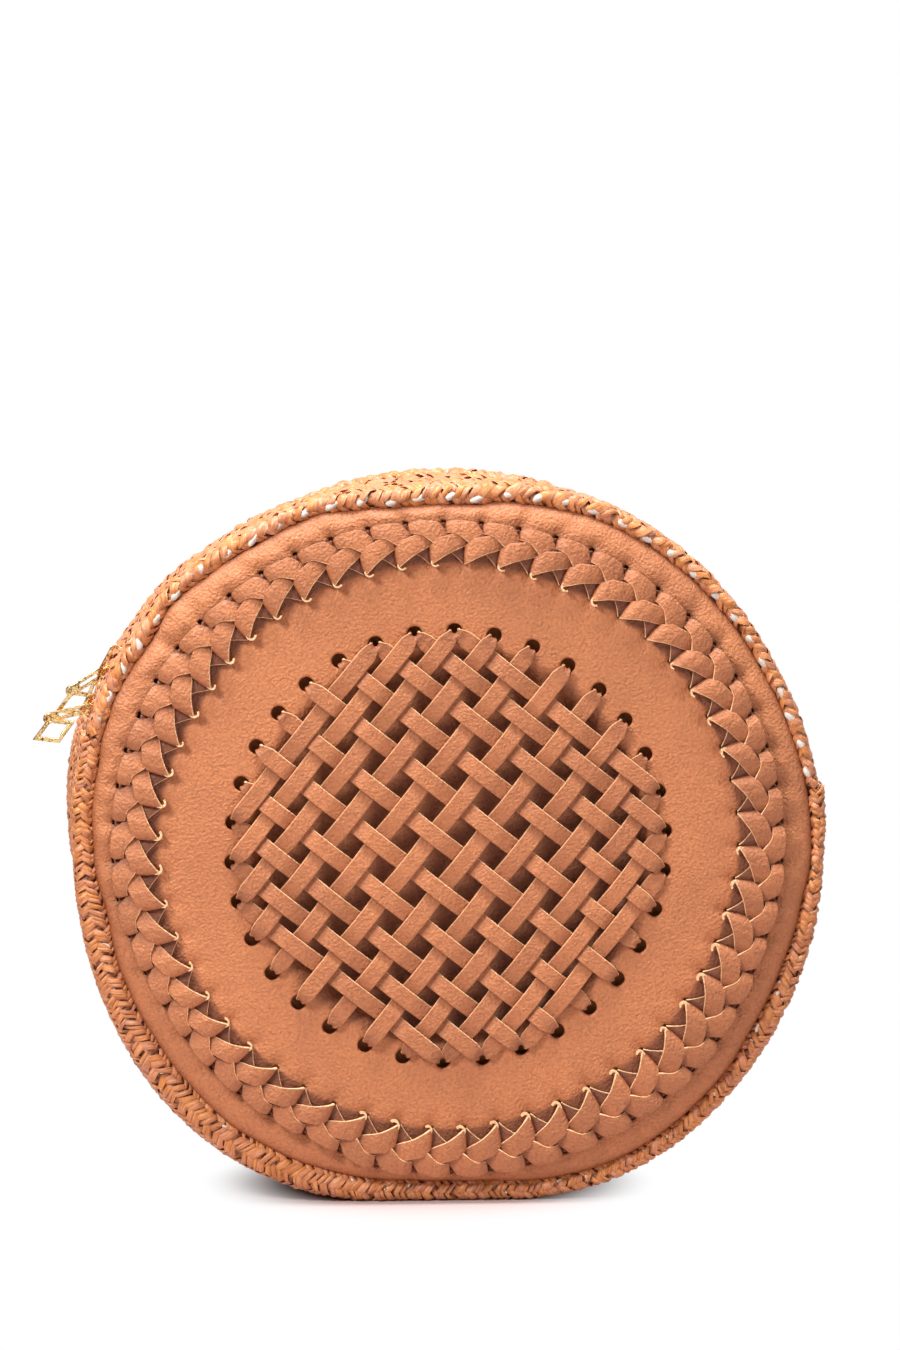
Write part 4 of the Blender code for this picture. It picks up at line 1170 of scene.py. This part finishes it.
def seam_thread(settings):
    """White thread that shows between the strands: a loop every 8.9 mm on the zip panel's front
    roll, and a few small ones on the lower band's."""
    cotton = woven_material("twisted_white_cotton", settings.thread, 0.9)
    noise = np.random.default_rng(21)
    skin = Skin()
    angles, lengths = outline_lengths(JOINT_RIGHT_DEG + 1.5, JOINT_LEFT_DEG - 1.0)
    for place in np.arange(0.002, lengths[-1], THREAD_SPACING):
        angle = np.interp(place + noise.normal(0, THREAD_SCATTER), lengths, angles)
        inset = THREAD_INSET + noise.normal(0, THREAD_SCATTER / 2)
        turn, half_length = noise.uniform(-0.7, 0.1), noise.uniform(*THREAD_HALF_LENGTHS)
        thread_bead(skin, angle, inset, THREAD_DEPTH, half_length, THREAD_HALF_WIDTH, turn)
    angles, lengths = outline_lengths(JOINT_LEFT_DEG + 4, 360 + JOINT_RIGHT_DEG - 4)
    for place in np.arange(0.004, lengths[-1], FINE_THREAD_SPACING):
        angle = np.interp(place + noise.normal(0, FINE_THREAD_SCATTER), lengths, angles)
        inset, turn = noise.uniform(*FINE_THREAD_INSETS), noise.uniform(-1.5, 1.5)
        half_length = noise.uniform(*FINE_THREAD_HALF_LENGTHS)
        thread_bead(skin, angle, inset, FINE_THREAD_DEPTH, half_length, FINE_THREAD_HALF_WIDTH, turn)
    skin.piece("white_seam_thread", cotton)


# Zip and metal

# One tooth from its head to its leg, as millimetres of (distance from the zip's middle, half its
# length along the zip, inset of its top, inset of its underside)
TOOTH_SECTIONS = (
    (0.45, 0.36, 1.55, 3.30), (0.60, 0.64, 1.25, 3.48), (1.60, 0.64, 1.22, 3.48),
    (2.00, 0.42, 1.22, 3.48), (3.20, 0.42, 1.25, 3.48), (3.38, 0.28, 1.60, 3.30),
)
TOOTH_PITCH = 0.0020
# From the zip panel's ends to the teeth
ZIP_END_DEG = 0.8
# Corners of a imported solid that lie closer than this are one
WELD_DISTANCE = 0.00001
# Each plated piece with its body and the width of its rounded edges
PLATED = (
    ("zip_slider", "slider", 0.0002), ("pull_stem", "stem", 0.00045), ("pull_ring", "ring", 0.00045),
)


def zip_teeth(settings):
    """Stamped teeth on the tapes' edges, the two rows half a pitch apart."""
    brass = plated_metal_material("brass_zip_teeth", settings.teeth, 0.20)
    across, half, top, under = np.array(TOOTH_SECTIONS).T[:, :, None] * MM
    along = half * np.array([-1.0, -0.7, 0.7, 1.0, 1.0, 0.7, -0.7, -1.0])
    inset = top + (under - top) * np.array([0.12, 0.0, 0.0, 0.12, 0.88, 1.0, 1.0, 0.88])
    angles, lengths = outline_lengths(JOINT_RIGHT_DEG + ZIP_END_DEG, JOINT_LEFT_DEG - ZIP_END_DEG)
    for side, label in ((-1, "front"), (1, "back")):
        skin = Skin()
        for place in np.arange((2 + side) * TOOTH_PITCH / 2, lengths[-1] - TOOTH_PITCH / 2, TOOTH_PITCH):
            angle = np.interp(place, lengths, angles) + along / OUTER_RADIUS
            skin.loft(polar_place(angle, outline_radius(angle, inset), side * across))
        skin.piece(f"zip_teeth_{label}", brass, [f"zip_chain_{label}"], "zip_metal", 30)
    for node in ("zip_stop_left", "zip_stop_right"):
        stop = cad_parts[node].data
        stop.materials.clear()
        stop.materials.append(brass)


def hardware(settings):
    """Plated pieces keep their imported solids, with rounded edges."""
    gold = plated_metal_material("gold_plated_zinc", settings.gold, 0.08)
    for label in ("lower", "upper"):
        for piece, body, rounding in PLATED:
            node = f"{piece}_{label}"
            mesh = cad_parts[node].data.copy()
            shape = bmesh.new()
            shape.from_mesh(mesh)
            bmesh.ops.remove_doubles(shape, verts=shape.verts, dist=WELD_DISTANCE)
            bmesh.ops.dissolve_limit(
                shape, angle_limit=math.radians(2), verts=shape.verts, edges=shape.edges
            )
            shape.to_mesh(mesh)
            shape.free()
            mesh.materials.clear()
            mesh.materials.append(gold)
            made = dress(bpy.data.objects.new(f"gold_{node}", mesh), f"{body}_{label}", [node])
            bevel = made.modifiers.new("soft_edges", "BEVEL")
            bevel.width = rounding
            bevel.segments = 4
            bevel.limit_method = "ANGLE"
            bevel.angle_limit = math.radians(30)
            mesh.shade_smooth()
            mesh.set_sharp_from_angle(angle=math.radians(50))


# Linings, tapes and pads

# Height of the felt's waves, before they fade to its middle and rim
FELT_RIPPLE = 0.0002


def thin_band(node, prefix, material, slot, inset, thickness, ends_deg, rests_on):
    """A thin band of cloth inside the outline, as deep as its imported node, and held stretched."""
    low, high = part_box(node)
    angles, _ = outline_lengths(*ends_deg)
    angles = angles[:: len(angles) // 120]
    corners = ((inset, low.y), (inset, high.y), (inset + thickness, high.y), (inset + thickness, low.y))
    skin = Skin()
    skin.loft(np.stack([polar_place(angles, outline_radius(angles, i), y) for i, y in corners], axis=1))
    middle = polar_place(angles, outline_radius(angles, inset + thickness / 2), 0.0)
    piece = skin.piece(f"{prefix}_{node}", material, [node], slot, 40)


def zip_tapes(settings):
    """Woven tapes that carry the teeth, sewn under the raffia's edges."""
    tape = woven_material("woven_zip_tape", settings.tape, 0.6)
    for label in ("front", "back"):
        rests_on = f"zip_panel_raffia_{label}"
        band = (f"zip_tape_{label}", "woven", tape, "zip_tape", TAPE_INSET, TAPE_THICKNESS)
        thin_band(*band, ZIP_ENDS_DEG, rests_on)


def felt_disc(skin, near, far, hollow):
    """A closed disc inside the outline, thinner towards its rim and hollowed in its middle."""
    angles = 2 * math.pi * np.arange(120) / 120
    edge = outline_radius(angles, PAD_INSET)
    shares = np.array([0.12, 0.35, 0.50, 0.56, 0.59, 0.62, 0.72, 0.82, 0.90, 0.95, 0.98, 1.0])
    middle = (near + far) / 2
    face = near + hollow * smooth_step((0.61 - shares) / 0.04)
    profile = [(s, y + (middle - y) * s**8 * 0.9) for s, y in zip(shares, face)]
    profile += [(s, far + (middle - far) * s**8 * 0.9) for s in shares[::-1]]
    ripple = FELT_RIPPLE * np.sin(3 * angles)
    skin.loft(np.stack([polar_place(angles, edge * s, y + ripple * s * (1 - s)) for s, y in profile]))


def padding(settings):
    """Felt pads that give the leather its puff. The front one is hollowed 2 mm less than the
    leather before it lies back."""
    felt = woven_material("needled_wool_felt", bpy.context.scene.bag_fabric.felt, 0.8, 0.95)
    for label, hollow in (("front", settings.field_sink - 2 * MM), ("back", 0.0)):
        low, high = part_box(f"{label}_padding")
        near, far = (low.y, high.y) if label == "front" else (high.y, low.y)
        skin = Skin()
        felt_disc(skin, near, far, hollow)
        pad = skin.piece(f"felt_pad_{label}", felt, [f"{label}_padding"], "foam")


def lining(settings):
    """Cotton lining: two discs behind the pads and three bands inside the raffia."""
    cotton = woven_material("plain_woven_cotton", settings.lining, 0.5)
    angles = 2 * math.pi * np.arange(180) / 180
    edge = outline_radius(angles, LINING_DISC_INSET)
    shares = (0.02, 0.3, 0.6, 0.85, 1.0)
    for label in ("front", "back"):
        low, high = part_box(f"{label}_lining")
        profile = [(low.y, share) for share in shares] + [(high.y, share) for share in shares[::-1]]
        skin = Skin()
        skin.loft(np.stack([polar_place(angles, edge * share, y) for y, share in profile]))
        piece = skin.piece(f"lining_disc_{label}", cotton, [f"{label}_lining"], "lining")
    for node, ends_deg, rests_on in (
        ("lower_gusset_lining", LOWER_ENDS_DEG, "lower_gusset_raffia"),
        ("zip_strip_front_lining", ZIP_ENDS_DEG, "zip_panel_raffia_front"),
        ("zip_strip_back_lining", ZIP_ENDS_DEG, "zip_panel_raffia_back"),
    ):
        band = (node, "cotton", cotton, "lining", LINING_BAND_INSET, LINING_BAND_THICKNESS)
        thin_band(*band, ends_deg, rests_on)


# Studio

CAMERA_AZIMUTH_DEG = -3.6
CAMERA_ELEVATION_DEG = 6.6
# The frame's height at the bag's face, and where its middle lies from the middle of that face
FRAME_HEIGHT = 0.398
AIM_RIGHT = 0.0004
AIM_UP = 0.0506
# Lamps as (name, place, side in metres, watts)
LAMPS = (
    ("key_softbox", (-0.46, -0.46, 0.60), 0.18, 5.1),
    ("top_softbox", (-0.03, -0.16, 1.08), 0.36, 14.5),
    ("fill_softbox", (1.20, -1.20, 0.60), 0.90, 4.6),
)
FLOOR_HALF = 6.0
# The bag's shadow on the floor: its oval's scale and shift, and the scaled distances between which
# the floor turns white
SHADOW_SCALE = (1.15, 1.25, 1.0)
SHADOW_SHIFT = (0.006, 0.0, 0.0)
SHADOW_FADE = (0.045, 0.080)
# Height of the dark card's lying parts over the floor
CARD_HEIGHT = 0.001
# Strength of the white world for the light on the bag
WORLD_LIGHT = 0.07
WHITE = (1.0, 1.0, 1.0)


def seen_by(tree, rays):
    """Is 1 for the kinds of ray that see the white background, and 0 for the light on the bag."""
    path = add_node(tree, "LightPath")
    seen = path.outputs[rays[0]]
    for ray in rays[1:]:
        seen = add_node(tree, "Math", {"operation": "MAXIMUM"}, {0: seen, 1: path.outputs[ray]})
    return seen


def paper_material(colour):
    """Seamless white background paper: matt, seen as white, and it keeps the bag's shadow."""
    made, tree, places = start_material("seamless_paper")
    # The matt floor's pinkish colour is painted bounce light from the bag, in its shadow
    matt = add_node(tree, "BsdfDiffuse", None, {"Color": colour})
    glow = add_node(tree, "Emission", None, {"Color": WHITE, "Strength": 1.0})
    seen = seen_by(tree, ("Is Camera Ray", "Is Glossy Ray"))
    # The shadow's oval under the bag stays matt, and the paper is white from about 70 mm out
    oval = {0: places, 1: SHADOW_SCALE, 2: SHADOW_SHIFT}
    scaled = add_node(tree, "VectorMath", {"operation": "MULTIPLY_ADD"}, oval)
    reach = add_node(tree, "VectorMath", {"operation": "LENGTH"}, {0: scaled}).outputs["Value"]
    start, end = SHADOW_FADE
    ends = {"Value": reach, "From Min": start, "From Max": end, "To Min": 0.0, "To Max": 1.0}
    away = add_node(tree, "MapRange", {"interpolation_type": "SMOOTHSTEP"}, ends)
    share = add_node(tree, "Math", {"operation": "MULTIPLY"}, {0: seen, 1: away})
    return close_material(made, "MixShader", {0: share, 1: matt, 2: glow})


def card_material():
    """Matt brown card beside the camera, which only shows as a dark reflection in the metal."""
    made, _, _ = start_material("matt_brown_card")
    return close_material(made, "BsdfDiffuse", {"Color": linear("#4A2E18")})


def stage_sheet(name, corners, faces, material):
    """A flat piece of the studio, which isn't part of the bag."""
    mesh = bpy.data.meshes.new(name)
    mesh.from_pydata(corners, [], faces)
    mesh.materials.append(material)
    made = bpy.data.objects.new(name, mesh)
    bpy.context.scene.collection.objects.link(made)
    return made


def studio(settings):
    """Camera at the photograph's angle, soft lamps, pale floor and backdrop."""
    scene = bpy.context.scene
    azimuth, elevation = math.radians(CAMERA_AZIMUTH_DEG), math.radians(CAMERA_ELEVATION_DEG)
    right = Vector((math.cos(azimuth), math.sin(azimuth), 0.0))
    away = Vector((math.sin(azimuth), -math.cos(azimuth), 0.0))
    back = away * math.cos(elevation) + Vector((0.0, 0.0, math.sin(elevation)))
    face = Vector((FACE_SHIFT, -SEAM_DEPTH - PUFF_HEIGHT, HUB_HEIGHT + FACE_RISE))
    data = bpy.data.cameras.new("studio_camera")
    data.sensor_width = 36.0
    data.lens = data.sensor_width / FRAME_HEIGHT * settings.camera_distance
    data.clip_end = 50.0
    camera = bpy.data.objects.new("studio_camera", data)
    aim = face + back.cross(right) * AIM_UP + right * AIM_RIGHT
    camera.location = aim + back * settings.camera_distance
    camera.rotation_euler = back.to_track_quat("Z", "Y").to_euler()
    scene.collection.objects.link(camera)
    scene.camera = camera

    for name, place, size, power in LAMPS:
        lamp_data = bpy.data.lights.new(name, "AREA")
        lamp_data.shape = "SQUARE"
        lamp_data.size = size
        lamp_data.energy = power
        lamp = bpy.data.objects.new(name, lamp_data)
        lamp.location = place
        towards_hub = lamp.location - Vector((0.0, 0.0, HUB_HEIGHT))
        lamp.rotation_euler = towards_hub.to_track_quat("Z", "Y").to_euler()
        scene.collection.objects.link(lamp)

    square = ((-1, -1), (1, -1), (1, 1), (-1, 1))
    corners = [(x * FLOOR_HALF, y * FLOOR_HALF, 0) for x, y in square]
    stage_sheet("studio_floor", corners, [(0, 1, 2, 3)], paper_material(settings.floor))
    # A card that stands at the left and lies on the floor before it, and two strips in front
    bent = ((-0.7, 1.0), (-0.7, CARD_HEIGHT), (-0.2, CARD_HEIGHT))
    corners = [(x, y, z) for x, z in bent for y in (-1.3, 0.6)]
    corners += [(x, y, CARD_HEIGHT) for y in (-1.9, -1.5, -1.3, -1.05) for x in (-0.6, 0.4)]
    faces = [(0, 1, 3, 2), (2, 3, 5, 4), (6, 7, 9, 8), (10, 11, 13, 12)]
    card = stage_sheet("dark_card", corners, faces, card_material())
    card.visible_camera = card.visible_diffuse = card.visible_shadow = False

    scene.world = bpy.data.worlds.new("studio_world")
    scene.world.use_nodes = True
    tree = scene.world.node_tree
    tree.nodes.clear()
    seen = seen_by(tree, ("Is Camera Ray", "Is Glossy Ray", "Is Transmission Ray"))
    strength = add_node(tree, "MapRange", None, {"Value": seen, "To Min": WORLD_LIGHT, "To Max": 1.0})
    background = add_node(tree, "Background", None, {"Color": WHITE, "Strength": strength})
    add_node(tree, "OutputWorld", None, {"Surface": background})
    scene.view_settings.view_transform = "Standard"


# The add-on's operators and panel


class BAG_OT_front_leather(bpy.types.Operator):
    """Make the punched and puffed leather of the front"""

    bl_idname = "bag.front_leather"
    bl_label = "Front leather"

    def execute(self, context):
        front_leather(context.scene.bag_leather)
        return {"FINISHED"}


class BAG_OT_back_leather(bpy.types.Operator):
    """Make the plain puffed leather of the back"""

    bl_idname = "bag.back_leather"
    bl_label = "Back leather"

    def execute(self, context):
        back_leather(context.scene.bag_leather)
        return {"FINISHED"}


class BAG_OT_lattice(bpy.types.Operator):
    """Make the 23 woven strips on the front"""

    bl_idname = "bag.lattice"
    bl_label = "Lattice"

    def execute(self, context):
        lattice(context.scene.bag_leather)
        return {"FINISHED"}


class BAG_OT_ring_braid(bpy.types.Operator):
    """Make the lace braided round the panel"""

    bl_idname = "bag.ring_braid"
    bl_label = "Ring braid"

    def execute(self, context):
        ring_braid(context.scene.bag_leather)
        return {"FINISHED"}


class BAG_OT_raffia(bpy.types.Operator):
    """Make the three bands of plaited raffia"""

    bl_idname = "bag.raffia"
    bl_label = "Raffia"

    def execute(self, context):
        raffia(context.scene.bag_raffia)
        return {"FINISHED"}


class BAG_OT_seam_thread(bpy.types.Operator):
    """Make the white thread between the raffia strands"""

    bl_idname = "bag.seam_thread"
    bl_label = "Seam thread"

    def execute(self, context):
        seam_thread(context.scene.bag_fabric)
        return {"FINISHED"}


class BAG_OT_zip_teeth(bpy.types.Operator):
    """Make the two rows of zip teeth, and finish their stops"""

    bl_idname = "bag.zip_teeth"
    bl_label = "Zip teeth"

    def execute(self, context):
        zip_teeth(context.scene.bag_metal)
        return {"FINISHED"}


class BAG_OT_hardware(bpy.types.Operator):
    """Make the sliders, stems and rings"""

    bl_idname = "bag.hardware"
    bl_label = "Hardware"

    def execute(self, context):
        hardware(context.scene.bag_metal)
        return {"FINISHED"}


class BAG_OT_zip_tapes(bpy.types.Operator):
    """Make the woven tapes of the zip"""

    bl_idname = "bag.zip_tapes"
    bl_label = "Zip tapes"

    def execute(self, context):
        zip_tapes(context.scene.bag_fabric)
        return {"FINISHED"}


class BAG_OT_padding(bpy.types.Operator):
    """Make the felt pads behind the leather"""

    bl_idname = "bag.padding"
    bl_label = "Padding"

    def execute(self, context):
        padding(context.scene.bag_leather)
        return {"FINISHED"}


class BAG_OT_lining(bpy.types.Operator):
    """Make the cotton discs and bands of the lining"""

    bl_idname = "bag.lining"
    bl_label = "Lining"

    def execute(self, context):
        lining(context.scene.bag_fabric)
        return {"FINISHED"}


class BAG_OT_studio(bpy.types.Operator):
    """Make the camera, lamps and background"""

    bl_idname = "bag.studio"
    bl_label = "Studio"

    def execute(self, context):
        studio(context.scene.bag_stage)
        return {"FINISHED"}


OPERATORS = (
    BAG_OT_front_leather, BAG_OT_back_leather, BAG_OT_lattice, BAG_OT_ring_braid, BAG_OT_raffia,
    BAG_OT_seam_thread, BAG_OT_zip_teeth, BAG_OT_hardware, BAG_OT_zip_tapes, BAG_OT_padding,
    BAG_OT_lining, BAG_OT_studio,
)
SETTINGS = {
    "bag_leather": LeatherSettings,
    "bag_raffia": RaffiaSettings,
    "bag_fabric": FabricSettings,
    "bag_metal": MetalSettings,
    "bag_stage": StageSettings,
}


class BAG_PT_pieces(bpy.types.Panel):
    """Lists the bag's settings and operators"""

    bl_label = "Laced bag"
    bl_space_type = "VIEW_3D"
    bl_region_type = "UI"
    bl_category = "Bag"

    def draw(self, context):
        for made in OPERATORS:
            self.layout.operator(made.bl_idname)
        for group, made in SETTINGS.items():
            box = self.layout.box()
            for field in made.__annotations__:
                box.prop(getattr(context.scene, group), field)


def register():
    for group, made in SETTINGS.items():
        bpy.utils.register_class(made)
        setattr(bpy.types.Scene, group, PointerProperty(type=made))
    for made in OPERATORS + (BAG_PT_pieces,):
        bpy.utils.register_class(made)


def unregister():
    for made in (BAG_PT_pieces,) + OPERATORS[::-1]:
        bpy.utils.unregister_class(made)
    for group, made in SETTINGS.items():
        delattr(bpy.types.Scene, group)
        bpy.utils.unregister_class(made)


def main():
    register()
    for made in OPERATORS:
        name = made.bl_idname.split(".")[1]
        if getattr(bpy.ops.bag, name)() != {"FINISHED"}:
            raise RuntimeError(f"{made.bl_label} did not finish")


if __name__ == "__main__":
    main()
